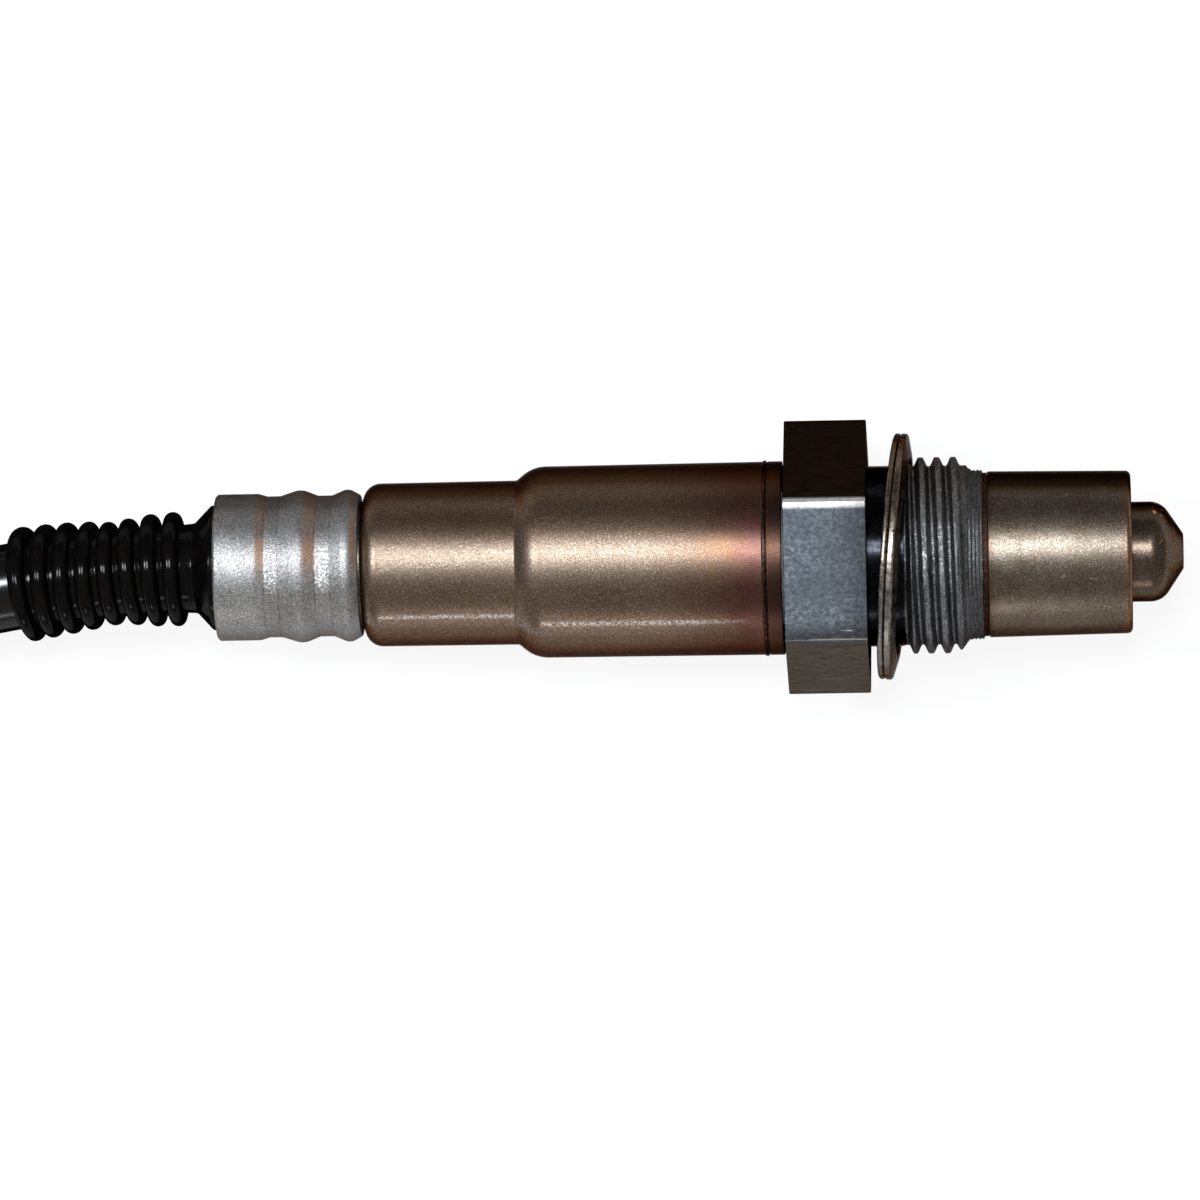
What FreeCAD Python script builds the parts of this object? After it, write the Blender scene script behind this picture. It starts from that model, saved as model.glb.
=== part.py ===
import FreeCAD, Part
import math
import os

import Sketcher
from FreeCAD import Placement, Rotation, Vector

# Exhaust oxygen sensor with a screw-in hexagon body and a corrugated lead.
# Frame: origin on the axis at the front face of the hexagon, which is the seat of the sealing ring.
# +X runs along the axis to the sensing tip, +Z is up, and the sensor lies on one wrench flat.
# All lengths are millimetres, all angles degrees.

SIZES = [
    # housing, turned from bar, with its wrench hexagon
    ("hex_flats", 22.0),
    ("hex_length", 7.55),
    ("core_margin", 1.0),
    ("neck_diameter", 16.6),
    ("neck_length", 3.9),
    ("neck_root_bevel", 0.3),
    ("thread_diameter", 18.0),
    ("thread_length", 5.6),
    ("thread_bevel", 0.6),
    ("thread_end_step", 0.25),
    ("pilot_diameter", 15.6),
    ("pilot_length", 1.2),
    ("spigot_diameter", 13.3),
    ("spigot_length", 2.8),
    ("gas_bore", 8.6),
    ("shoulder_depth", 2.0),
    ("stack_bore", 12.4),
    ("rim_bore", 10.4),
    ("rim_thickness", 0.8),
    ("rim_bevel", 0.6),
    # what is pressed into the housing, from the front shoulder to the rolled rim
    ("front_bush_length", 3.5),
    ("powder_length", 3.2),
    ("rear_bush_length", 7.0),
    ("clamp_ring_thickness", 1.0),
    # planar sensing element
    ("element_width", 4.2),
    ("element_thickness", 1.35),
    ("element_reach", 22.5),
    ("slot_clearance", 0.1),
    # protection tubes
    ("outer_tube_rear_diameter", 15.26),
    ("outer_tube_front_diameter", 14.93),
    ("outer_tube_length", 13.4),
    ("outer_tube_wall", 0.5),
    ("outer_tube_bevel", 0.4),
    ("tube_joint_gap", 0.05),
    ("inlet_hole_diameter", 1.3),
    ("inlet_hole_circle", 12.1),
    ("inlet_hole_count", 8),
    ("nub_diameter", 9.2),
    ("nub_length", 4.75),
    ("nub_cone_length", 2.07),
    ("nub_corner", 1.3),
    ("nub_flat_diameter", 2.68),
    ("nub_flat_inset", 0.09),
    ("outlet_hole_diameter", 2.0),
    ("inner_tube_wall", 0.35),
    ("inner_skirt_length", 2.0),
    # folded sealing ring, loose on the neck
    ("ring_clearance", 0.1),
    ("ring_width", 2.225),
    ("ring_sheet", 0.57),
    ("ring_seam", 0.06),
    ("ring_cone_width", 0.4),
    ("ring_lobe_bevel", 0.19),
    ("ring_back_bevel", 0.4),
    ("ring_place", 2.3),
    ("ring_rise", 0.34),
    ("ring_yaw", 4.35),
    ("ring_pitch", 2.8),
    # outer sleeve, deep drawn
    ("sleeve_diameter", 17.8),
    ("sleeve_wall", 0.5),
    ("sleeve_gap", 0.25),
    ("weld_place", 1.6),
    ("weld_width", 0.45),
    ("weld_height", 0.1),
    ("shoulder_start", 30.76),
    ("shoulder_length", 1.49),
    ("shoulder_round", 3.3),
    ("shoulder_inner_shift", 0.17),
    ("narrow_diameter", 15.1),
    ("narrow_end", 46.4),
    ("narrow_end_flat", 0.15),
    ("sleeve_tail_length", 6.2),
    # contact holder, its clip and the five terminals
    ("holder_gap", 0.75),
    ("holder_rear_gap", 0.1),
    ("holder_length", 13.6),
    ("clip_wall", 0.45),
    ("clip_setback", 1.0),
    ("clip_width", 6.0),
    ("clip_opening", 2.0),
    ("blade_gap", 0.5),
    ("blade_play", 0.025),
    ("blade_width", 0.9),
    ("blade_thickness", 0.3),
    ("blade_length", 10.0),
    ("blade_spread_upper", 1.4),
    ("blade_spread_lower", 1.0),
    ("barrel_wall", 0.2),
    ("barrel_length", 5.0),
    ("barrel_gap", 1.4),
    ("barrel_floor", 0.5),
    # wires and their seal
    ("wire_diameter", 1.9),
    ("wire_circle", 4.2),
    ("wire_clearance", 0.05),
    ("grommet_flange_gap", 0.45),
    ("grommet_flange_length", 1.5),
    ("grommet_length", 12.7),
    # crimped ferrule
    ("ferrule_front", 46.9),
    ("ferrule_length", 13.3),
    ("ferrule_step", 0.925),
    ("ferrule_wall", 0.6),
    ("ferrule_bevel", 0.3),
    ("ferrule_mouth_depth", 0.125),
    ("crimp_floor", 1.4),
    ("crimp_slope", 0.7),
    ("front_crimp_place", 50.3),
    ("front_crimp_depth", 0.2),
    ("rear_crimp_place", 54.9),
    ("rear_crimp_depth", 0.25),
    ("middle_crest_rise", 0.175),
    ("middle_crest_place", 52.3),
    ("front_crest_rise", 0.275),
    ("front_crest_place", 48.0),
    ("crest_flat", 0.9),
    ("grip_clearance", 0.025),
    # rubber boot with its bellows
    ("boot_root_front", 53.0),
    ("boot_root_wall", 1.5),
    ("boot_cone_length", 1.7),
    ("boot_overlap", 0.2),
    ("boot_neck_diameter", 8.3),
    ("boot_bore", 6.5),
    ("boot_valley_diameter", 8.1),
    ("boot_length", 18.2),
    ("boot_bend_radius", 81.0),
    ("boot_bend_tilt", 45.0),
    ("rib_count", 8),
    ("rib_first", 3.75),
    ("rib_pitch", 1.914),
    ("rib_width", 1.55),
    ("rib_crown", 0.5),
    ("rib_flank", 0.6),
    ("rib_1_diameter", 10.56),
    ("rib_2_diameter", 10.4),
    ("rib_3_diameter", 9.9),
    ("rib_4_diameter", 9.6),
    ("rib_5_diameter", 10.0),
    ("rib_6_diameter", 10.3),
    ("rib_7_diameter", 10.5),
    ("rib_8_diameter", 10.66),
    # lead and its put-away coil
    ("hose_diameter", 8.1),
    ("hose_lift", 0.05),
    ("exit_run", 11.7),
    ("coil_outer_turn", 44.6),
    ("coil_inner_turn", 36.5),
    ("coil_margin", 0.5),
    ("coil_top_margin", 0.15),
    ("tail_turn", 38.6),
    ("tail_step", 24.0),
    ("tail_steps", 9),
    ("tie_width", 4.8),
    ("tie_thickness", 0.9),
    ("tie_head_length", 6.5),
    ("tie_head_height", 3.2),
    # plug on the end of the lead
    ("plug_width", 20.0),
    ("plug_height", 17.0),
    ("plug_length", 32.0),
    ("plug_corner", 2.5),
    ("shroud_wall", 1.5),
    ("shroud_depth", 20.0),
    ("shroud_corner", 1.2),
    ("gland_length", 10.0),
    ("gland_mouth_diameter", 11.0),
    ("gland_flange_diameter", 15.6),
    ("gland_flange_length", 2.0),
    ("gland_bore", 5.5),
    ("gland_bevel", 0.6),
    ("gland_taper", 1.0),
    ("plug_seal_width", 14.0),
    ("plug_seal_height", 10.0),
    ("plug_seal_length", 4.0),
    ("pin_diameter", 1.5),
    ("pin_pitch", 4.5),
    ("pin_rows", 5.5),
    ("pin_recess", 5.5),
    ("pin_root", 6.0),
    ("pin_tip_round", 0.35),
    ("lock_plate_thickness", 2.0),
    ("lock_hole_diameter", 2.2),
    ("latch_width", 6.0),
    ("latch_length", 8.0),
    ("latch_height", 1.6),
    ("latch_place", 16.0),
    ("key_width", 1.6),
    ("key_height", 1.2),
    ("key_length", 16.0),
    ("resistor_length", 6.0),
    ("resistor_width", 4.0),
    ("resistor_height", 1.2),
    ("plug_fit", 0.1),
    ("fit_gap", 0.05),
    ("cutter_overrun", 1.0),
]

# positions of the parts of the lead that are laid by hand, in the part's own frame
HOSE_ROUTE = [
    # after the end of the boot: down to the floor in a wide curve that joins the outer turn of the coil
    (-101.7, -9.1, -5.6),
    (-112.4, -19.0, -6.9),
]
COIL_CENTRE = (-137.0, 19.0)
# the share of the shorter run beside a corner that the corner's arc takes
ARC_SHARE = 0.45


class Size:
    """A length or angle that knows its number and the sheet expression that gives it."""

    def __init__(self, number, text):
        self.number, self.text = float(number), text

    @staticmethod
    def of(value):
        return value if isinstance(value, Size) else Size(value, repr(float(value)))

    def join(self, other, sign, number):
        return Size(number, f"({self.text} {sign} {other.text})")

    def __add__(self, other):
        other = Size.of(other)
        return self.join(other, "+", self.number + other.number)

    def __sub__(self, other):
        other = Size.of(other)
        return self.join(other, "-", self.number - other.number)

    def __mul__(self, other):
        other = Size.of(other)
        return self.join(other, "*", self.number * other.number)

    def __truediv__(self, other):
        other = Size.of(other)
        return self.join(other, "/", self.number / other.number)

    def __neg__(self):
        return Size(-self.number, f"(-{self.text})")

    def __rsub__(self, other):
        return Size.of(other) - self

    __radd__ = __add__
    __rmul__ = __mul__


doc = FreeCAD.newDocument("oxygen_sensor")


def make_sheet():
    """Writes the driving sizes into the sheet and returns them by name."""
    sheet = doc.addObject("Spreadsheet::Sheet", "sizes")
    named = {}
    for row, (name, value) in enumerate(SIZES, start=1):
        sheet.set(f"A{row}", name)
        sheet.set(f"B{row}", str(value))
        sheet.setAlias(f"B{row}", name)
        named[name] = Size(value, f"sizes.{name}")
    doc.recompute()
    return named


s = make_sheet()


# how a piece is made


def bind(thing, property_name, value):
    """Binds one property of an object to a size of the sheet or to a plain number."""
    thing.setExpression(property_name, Size.of(value).text)


def corner_points(corners):
    """Gives the corners as points and, for each, its round's start, end, centre and sense of turn."""
    points = [Vector(Size.of(c[0]).number, Size.of(c[1]).number, 0) for c in corners]
    rounds = []
    for i, corner in enumerate(corners):
        here, before, after = points[i], points[i - 1], points[(i + 1) % len(points)]
        if len(corner) < 3:
            rounds.append((here, here, None, 0.0))
            continue
        radius = Size.of(corner[2]).number
        back, ahead = (before - here).normalize(), (after - here).normalize()
        half = back.getAngle(ahead) / 2
        reach = radius / math.tan(half)
        centre = here + (back + ahead).normalize() * (radius / math.sin(half))
        rounds.append((here + back * reach, here + ahead * reach, centre, back.cross(ahead).z))
    return points, rounds


def outline(body, name, plane, corners, offset=None):
    """Draws one closed outline in a sketch of the body. A corner is (x, y) or (x, y, round)."""
    sketch = body.newObject("Sketcher::SketchObject", name)
    origin = [f for f in body.Origin.OriginFeatures if f.Role == plane][0]
    sketch.AttachmentSupport = [(origin, "")]
    sketch.MapMode = "FlatFace"
    if offset is not None:
        bind(sketch, "AttachmentOffset.Base.z", offset)
    points, rounds = corner_points(corners)
    count = len(corners)
    lines = [
        sketch.addGeometry(Part.LineSegment(rounds[i][1], rounds[(i + 1) % count][0]), False)
        for i in range(count)
    ]
    for i, corner in enumerate(corners):
        before, after = lines[i - 1], lines[i]
        start, end, centre, turn = rounds[i]
        if centre is None:
            place = (after, 1)
            sketch.addConstraint(Sketcher.Constraint("Coincident", before, 2, after, 1))
        else:
            arc = round_corner(sketch, before, after, start, end, centre, turn, corner[2])
            place = (sketch.addGeometry(Part.Point(points[i]), True), 1)
            sketch.addConstraint(Sketcher.Constraint("PointOnObject", place[0], 1, before))
            sketch.addConstraint(Sketcher.Constraint("PointOnObject", place[0], 1, after))
        hold_point(sketch, place, corner)
    return sketch


def round_corner(sketch, before, after, start, end, centre, turn, radius):
    """Adds the round of one corner, tangent to both of its lines."""
    first, second = (end, start) if turn > 0 else (start, end)
    angles = [math.atan2(p.y - centre.y, p.x - centre.x) for p in (first, second)]
    circle = Part.Circle(centre, Vector(0, 0, 1), Size.of(radius).number)
    arc = sketch.addGeometry(Part.ArcOfCircle(circle, angles[0], angles[1]), False)
    at_start, at_end = (2, 1) if turn > 0 else (1, 2)
    sketch.addConstraint(Sketcher.Constraint("Tangent", before, 2, arc, at_start))
    sketch.addConstraint(Sketcher.Constraint("Tangent", arc, at_end, after, 1))
    bind_constraint(sketch, Sketcher.Constraint("Radius", arc, Size.of(radius).number), radius)
    return arc


def bind_constraint(sketch, constraint, value):
    """Adds a dimension and ties it to the sheet where its value comes from there."""
    index = sketch.addConstraint(constraint)
    if isinstance(value, Size):
        sketch.setExpression(f"Constraints[{index}]", value.text)


def hold_point(sketch, place, corner):
    """Fixes one point of an outline by its two distances from the sketch's origin."""
    for axis, kind, value in ((-2, "DistanceX", corner[0]), (-1, "DistanceY", corner[1])):
        if not isinstance(value, Size) and value == 0:
            sketch.addConstraint(Sketcher.Constraint("PointOnObject", *place, axis))
        else:
            number = Size.of(value).number
            bind_constraint(sketch, Sketcher.Constraint(kind, -1, 1, *place, number), value)


def turned(label, corners):
    """Makes a piece by turning its half section, given as (x, radius) corners, round the X axis."""
    body = doc.addObject("PartDesign::Body", label)
    sketch = outline(body, label + "_section", "XY_Plane", corners)
    turn = body.newObject("PartDesign::Revolution", label + "_turn")
    turn.Profile = sketch
    turn.ReferenceAxis = (sketch, ["H_Axis"])
    turn.Angle = 360
    sketch.Visibility = False
    return body


def extruded(label, corners, start, length, plane="YZ_Plane"):
    """Makes a piece by extruding an outline of a plane along that plane's normal."""
    body = doc.addObject("PartDesign::Body", label)
    sketch = outline(body, label + "_section", plane, corners, start)
    pad = body.newObject("PartDesign::Pad", label + "_pad")
    pad.Profile = sketch
    bind(pad, "Length", length)
    sketch.Visibility = False
    return body


def rectangle(width, height, corner=None, centre_height=0):
    """Gives the corners of a rectangle on the axis, rounded where a corner radius is given."""
    half_width, half_height = Size.of(width) / 2, Size.of(height) / 2
    round_part = () if corner is None else (corner,)
    return [
        (side * half_width, centre_height + rise * half_height, *round_part)
        for side, rise in ((-1, -1), (1, -1), (1, 1), (-1, 1))
    ]


def rod(label, radius, start, length, y=0, z=0):
    """Makes a cylinder along X that starts at x = start."""
    cylinder = doc.addObject("Part::Cylinder", label)
    bind(cylinder, "Radius", radius)
    bind(cylinder, "Height", length)
    cylinder.Placement = Placement(Vector(), Rotation(Vector(0, 1, 0), 90))
    for letter, value in (("x", start), ("y", y), ("z", z)):
        bind(cylinder, f"Placement.Base.{letter}", value)
    return cylinder


def block(label, size, low):
    """Makes a box from its three sizes and its lowest corner."""
    box = doc.addObject("Part::Box", label)
    for name, value in zip(("Length", "Width", "Height"), size):
        bind(box, name, value)
    for letter, value in zip("xyz", low):
        bind(box, f"Placement.Base.{letter}", value)
    return box


def fused(label, pieces):
    """Joins pieces into one solid."""
    fuse = doc.addObject("Part::MultiFuse", label)
    fuse.Shapes = pieces
    fuse.Refine = True
    return fuse


def cut(label, base, tools):
    """Cuts one tool, or several joined, out of a piece."""
    result = doc.addObject("Part::Cut", label)
    result.Base = base
    result.Tool = tools[0] if len(tools) == 1 else fused(label + "_tools", tools)
    result.Refine = True
    return result


def shaped(label, shape):
    """Keeps a shape that was worked out directly as a piece of its own."""
    feature = doc.addObject("Part::Feature", label)
    feature.Shape = shape
    return feature


NODES = []


def node(piece, label):
    """Names a finished piece and puts it on the list of what is written."""
    piece.Label = label
    NODES.append(piece)
    return piece


# where things are along the axis, worked out from the driving sizes

neck_end = s["neck_length"]
thread_end = neck_end + s["thread_length"]
pilot_end = thread_end + s["pilot_length"]
spigot_end = pilot_end + s["spigot_length"]
front_bush_rear = s["shoulder_depth"] - s["front_bush_length"]
powder_rear = front_bush_rear - s["powder_length"]
rear_bush_rear = powder_rear - s["rear_bush_length"]
clamp_ring_rear = rear_bush_rear - s["clamp_ring_thickness"]
rim_rear = clamp_ring_rear - s["rim_thickness"]
outer_tube_rear = pilot_end + s["tube_joint_gap"]
outer_tube_front = outer_tube_rear + s["outer_tube_length"]
tip = outer_tube_front + s["nub_length"]
sleeve_front = -(s["hex_length"] + s["sleeve_gap"])
narrow_rear = -s["narrow_end"]
sleeve_rear = narrow_rear - s["sleeve_tail_length"]
narrow_radius = s["narrow_diameter"] / 2
narrow_bore = narrow_radius - s["sleeve_wall"]
ferrule_radius = narrow_radius - s["ferrule_step"]
front_crimp_radius = ferrule_radius - s["front_crimp_depth"]
rear_crimp_radius = ferrule_radius - s["rear_crimp_depth"]
tail_radius = front_crimp_radius - s["ferrule_wall"] - s["grip_clearance"]
tail_bore = tail_radius - s["sleeve_wall"]
root_radius = rear_crimp_radius - s["ferrule_wall"] - s["grip_clearance"]
root_bore = root_radius - s["boot_root_wall"]
ferrule_rear = -(s["ferrule_front"] + s["ferrule_length"])
grommet_front = narrow_rear + s["sleeve_wall"] + s["grommet_flange_length"]
grommet_rear = grommet_front - s["grommet_length"]
barrel_rear = grommet_front + s["barrel_gap"]
blade_rear = barrel_rear + s["barrel_length"]
element_rear = blade_rear + s["blade_gap"]
holder_rear = element_rear - s["holder_rear_gap"]
wire_front = blade_rear - s["barrel_floor"]
wire_radius = s["wire_diameter"] / 2
overrun = s["cutter_overrun"]
floor = -(s["hex_flats"] / 2)


def make_housing():
    """The housing: wrench hexagon, neck, thread core, pilot and spigot in front, sleeve collar behind."""
    half_flat = s["hex_flats"] / 2
    collar = s["sleeve_diameter"] / 2 - s["sleeve_wall"] - s["fit_gap"]
    neck, root = s["neck_diameter"] / 2, s["neck_root_bevel"]
    core = half_flat - s["core_margin"]
    body = turned(
        "housing",
        [
            (rim_rear, s["rim_bore"] / 2),
            (rim_rear, collar - s["rim_bevel"]),
            (rim_rear + s["rim_bevel"], collar),
            (-s["hex_length"] / 2, collar),
            (-s["hex_length"] / 2, core),
            (0, core),
            (0, neck + root),
            (root, neck),
            (neck_end, neck),
            (neck_end + s["thread_bevel"], s["thread_diameter"] / 2),
            (thread_end - s["thread_bevel"], s["thread_diameter"] / 2),
            (thread_end, s["pilot_diameter"] / 2 + s["thread_end_step"]),
            (thread_end, s["pilot_diameter"] / 2),
            (pilot_end, s["pilot_diameter"] / 2),
            (pilot_end, s["spigot_diameter"] / 2),
            (spigot_end, s["spigot_diameter"] / 2),
            (spigot_end, s["gas_bore"] / 2),
            (s["shoulder_depth"], s["gas_bore"] / 2),
            (s["shoulder_depth"], s["stack_bore"] / 2),
            (clamp_ring_rear, s["stack_bore"] / 2),
            (clamp_ring_rear, s["rim_bore"] / 2),
        ],
    )
    return node(add_hexagon(body, half_flat), "hex_housing")


def add_hexagon(body, half_flat):
    """Pads the hexagon ring on the housing, with flats up and down and corners to the sides."""
    corner = half_flat * 2 / math.sqrt(3)
    hexagon = [
        (corner, 0),
        (corner / 2, half_flat),
        (-corner / 2, half_flat),
        (-corner, 0),
        (-corner / 2, -half_flat),
        (corner / 2, -half_flat),
    ]
    sketch = outline(body, "hexagon", "YZ_Plane", hexagon)
    ring = sketch.addGeometry(Part.Circle(Vector(), Vector(0, 0, 1), s["stack_bore"].number / 2))
    sketch.addConstraint(Sketcher.Constraint("Coincident", ring, 3, -1, 1))
    bind_constraint(
        sketch, Sketcher.Constraint("Radius", ring, s["stack_bore"].number / 2), s["stack_bore"] / 2
    )
    pad = body.newObject("PartDesign::Pad", "hexagon_pad")
    pad.Profile = sketch
    pad.Reversed = True
    bind(pad, "Length", s["hex_length"])
    sketch.Visibility = False
    return body


def make_sealing_ring():
    """The folded sealing ring: flat layer, cone layer and the bend that joins them at the bore."""
    bore = s["thread_diameter"] / 2 + s["ring_clearance"]
    rim = bore + s["ring_width"]
    sheet, half_seam = s["ring_sheet"], s["ring_seam"] / 2
    lobe, back = s["ring_lobe_bevel"], s["ring_back_bevel"]
    cone = half_seam + s["ring_cone_width"]
    ring = turned(
        "ring",
        [
            (back - half_seam - sheet, bore),
            (-half_seam - sheet, bore + back),
            (-half_seam - sheet, rim - lobe),
            (lobe - half_seam - sheet, rim),
            (-half_seam - lobe, rim),
            (-half_seam, rim - lobe),
            (-half_seam, bore + sheet),
            (cone, bore + sheet),
            (half_seam, rim - lobe),
            (half_seam + lobe, rim),
            (half_seam + sheet - lobe, rim),
            (half_seam + sheet, rim - lobe),
            (cone + sheet, bore + sheet),
            (cone + sheet - lobe, bore + lobe),
            (cone, bore),
        ],
    )
    ring.Placement = Placement(
        Vector(s["ring_place"].number, 0, s["ring_rise"].number),
        Rotation(Vector(0, 1, 0), -s["ring_pitch"].number)
        .multiply(Rotation(Vector(0, 0, 1), -s["ring_yaw"].number)),
    )
    return node(ring, "sealing_ring")


def make_outer_tube():
    """The outer protection tube: a drawn cup with gas holes in its front face, round the inner nub."""
    rear, front = s["outer_tube_rear_diameter"] / 2, s["outer_tube_front_diameter"] / 2
    wall, bevel = s["outer_tube_wall"], s["outer_tube_bevel"]
    mouth = s["nub_diameter"] / 2 + s["fit_gap"]
    cup = turned(
        "outer_cup",
        [
            (outer_tube_rear, rear),
            (outer_tube_front - bevel, front),
            (outer_tube_front, front - bevel),
            (outer_tube_front, mouth),
            (outer_tube_front - wall, mouth),
            (outer_tube_front - wall, front - wall),
            (spigot_end + wall * 2, front - wall),
            (spigot_end + wall, rear - wall),
            (outer_tube_rear, rear - wall),
        ],
    )
    holes = ring_of_holes(
        "inlet",
        s["inlet_hole_count"],
        s["inlet_hole_circle"] / 2,
        s["inlet_hole_diameter"] / 2,
        outer_tube_front - wall * 2,
        wall * 3,
    )
    return node(cut("outer_cup_holed", cup, holes), "outer_protection_tube")


def ring_of_holes(name, count, circle, radius, start, length, first=0.0):
    """Makes the round cutters of an even ring of holes about the axis."""
    cutters = []
    for i in range(int(count.number)):
        turn = math.radians(first + 360.0 * i / count.number)
        cutters.append(
            rod(
                f"{name}_hole_{i + 1}",
                radius,
                start,
                length,
                circle * math.cos(turn),
                circle * math.sin(turn),
            )
        )
    return cutters


def make_inner_tube():
    """The inner protection tube: skirt on the spigot, long tube, and the nub with its cone and hole."""
    wall, nub = s["inner_tube_wall"], s["nub_diameter"] / 2
    skirt = s["spigot_diameter"] / 2 + s["fit_gap"]
    skirt_rear = spigot_end - s["inner_skirt_length"]
    cone_start = tip - s["nub_cone_length"]
    flat, hole = s["nub_flat_diameter"] / 2, s["outlet_hole_diameter"] / 2
    tube = turned(
        "inner_cup",
        [
            (skirt_rear, skirt),
            (skirt_rear, skirt + wall),
            (spigot_end + wall, skirt + wall),
            (spigot_end + wall, nub),
            (cone_start, nub, s["nub_corner"]),
            (tip, flat),
            (tip, hole),
            (tip - wall, hole),
            (tip - wall, flat - s["nub_flat_inset"]),
            (cone_start - wall / 2, nub - wall),
            (spigot_end, nub - wall),
            (spigot_end, skirt),
        ],
    )
    return node(tube, "inner_protection_tube")


def make_element_stack():
    """The sensing element and what holds it: two ceramic bushes, the packed powder and the clamp ring."""
    width, thickness = s["element_width"], s["element_thickness"]
    element = block(
        "element",
        (s["element_reach"] - element_rear, width, thickness),
        (element_rear, -width / 2, -thickness / 2),
    )
    node(element, "sensor_element")
    seat = s["stack_bore"] / 2 - s["fit_gap"]
    pieces = [
        ("front_ceramic_bush", front_bush_rear, s["front_bush_length"], s["slot_clearance"]),
        ("powder_seal", powder_rear, s["powder_length"], Size.of(0)),
        ("rear_ceramic_bush", rear_bush_rear, s["rear_bush_length"], s["slot_clearance"]),
    ]
    for name, rear, length, clearance in pieces:
        disc = rod(name + "_disc", seat, rear, length)
        slot = block(
            name + "_slot",
            (length * 2, width + clearance * 2, thickness + clearance * 2),
            (rear - length / 2, -width / 2 - clearance, -thickness / 2 - clearance),
        )
        node(cut(name + "_body", disc, [slot]), name)
    ring = cut(
        "clamp_ring_body",
        rod("clamp_ring_disc", seat, clamp_ring_rear, s["clamp_ring_thickness"]),
        [
            rod(
                "clamp_ring_bore",
                s["rim_bore"] / 2 - s["rim_thickness"],
                clamp_ring_rear - s["rim_thickness"],
                s["clamp_ring_thickness"] + s["rim_thickness"] * 2,
            )
        ],
    )
    node(ring, "clamp_ring")


def make_contact_holder():
    """The two ceramic halves that press the terminals on the element, and their spring clip."""
    radius, length = narrow_bore - s["holder_gap"], s["holder_length"]
    channel_width = s["element_width"] + s["slot_clearance"] * 2
    channel_height = s["element_thickness"] / 2 + s["blade_thickness"] + s["blade_play"]
    half_seam = s["slot_clearance"] / 2
    for name, side in (("upper", 1), ("lower", -1)):
        disc = rod(f"holder_{name}_disc", radius, holder_rear, length)
        low = half_seam if side > 0 else -radius * 2
        half = doc.addObject("Part::Common", f"holder_{name}_half")
        half.Base = disc
        half.Tool = block(
            f"holder_{name}_side",
            (length * 2, radius * 4, radius * 2 - (0 if side > 0 else half_seam)),
            (holder_rear - length / 2, -radius * 2, low),
        )
        channel = block(
            f"holder_{name}_channel",
            (length * 2, channel_width, channel_height * 2),
            (holder_rear - length / 2, -channel_width / 2, -channel_height),
        )
        node(cut(f"holder_{name}_body", half, [channel]), f"contact_holder_{name}")
    bore = radius + s["fit_gap"]
    clip_rear = holder_rear + length - s["clip_setback"] - s["clip_width"]
    clip = cut(
        "clip_body",
        rod("clip_band", bore + s["clip_wall"], clip_rear, s["clip_width"]),
        [
            rod("clip_bore", bore, clip_rear - overrun, s["clip_width"] + overrun * 2),
            block(
                "clip_slit",
                (s["clip_width"] + overrun * 2, s["clip_opening"], radius * 2),
                (clip_rear - overrun, -s["clip_opening"] / 2, 0),
            ),
        ],
    )
    node(clip, "contact_clip")


def wire_places():
    """Gives each wire's colour name, place across the axis, and the side and spread of its terminal."""
    upper, lower = s["blade_spread_upper"], s["blade_spread_lower"]
    spreads = [(1, Size.of(0)), (1, -upper), (-1, -lower), (-1, lower), (1, upper)]
    names = ["red", "yellow", "black", "white", "grey"]
    places = []
    for i, (name, (side, spread)) in enumerate(zip(names, spreads)):
        turn = math.radians(90 + 360 * i / len(names))
        circle = s["wire_circle"] / 2
        places.append((name, circle * math.cos(turn), circle * math.sin(turn), side, spread))
    return places


def make_terminals():
    """The five terminals: a blade on a pad of the element and a barrel closed round its wire."""
    barrel = wire_radius + s["wire_clearance"] + s["barrel_wall"]
    for name, y, z, side, spread in wire_places():
        height = s["element_thickness"] / 2
        low = height if side > 0 else -height - s["blade_thickness"]
        blade = block(
            f"blade_{name}",
            (s["blade_length"] + s["barrel_floor"] / 2, s["blade_width"], s["blade_thickness"]),
            (blade_rear - s["barrel_floor"] / 2, spread - s["blade_width"] / 2, low),
        )
        cup = cut(
            f"barrel_{name}",
            rod(f"barrel_{name}_rod", barrel, barrel_rear, s["barrel_length"], y, z),
            [
                rod(
                    f"barrel_{name}_bore",
                    wire_radius + s["wire_clearance"],
                    barrel_rear - overrun,
                    s["barrel_length"] + overrun - s["barrel_floor"],
                    y,
                    z,
                )
            ],
        )
        node(fused(f"terminal_{name}_body", [blade, cup]), f"terminal_{name}")


def make_sleeve():
    """The drawn outer sleeve with its weld bead, shoulder, narrow end and the tail in the ferrule."""
    wall = s["sleeve_wall"]
    front = s["sleeve_diameter"] / 2
    weld_front = -(s["hex_length"] + s["weld_place"])
    weld_rear = weld_front - s["weld_width"]
    crown = front + s["weld_height"]
    shoulder_front = -s["shoulder_start"]
    shoulder_rear = shoulder_front - s["shoulder_length"]
    sleeve = turned(
        "sleeve",
        [
            (sleeve_front, front),
            (weld_front, front),
            (weld_front - s["weld_height"], crown),
            (weld_rear + s["weld_height"], crown),
            (weld_rear, front),
            (shoulder_front, front, s["shoulder_round"]),
            (shoulder_rear, narrow_radius),
            (narrow_rear, narrow_radius, narrow_radius - tail_radius - s["narrow_end_flat"]),
            (narrow_rear, tail_radius),
            (sleeve_rear, tail_radius),
            (sleeve_rear, tail_bore),
            (narrow_rear + wall, tail_bore),
            (narrow_rear + wall, narrow_bore),
            (shoulder_rear + s["shoulder_inner_shift"], narrow_bore),
            (shoulder_front + s["shoulder_inner_shift"], front - wall),
            (sleeve_front, front - wall),
        ],
    )
    return node(sleeve, "outer_sleeve")


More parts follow.
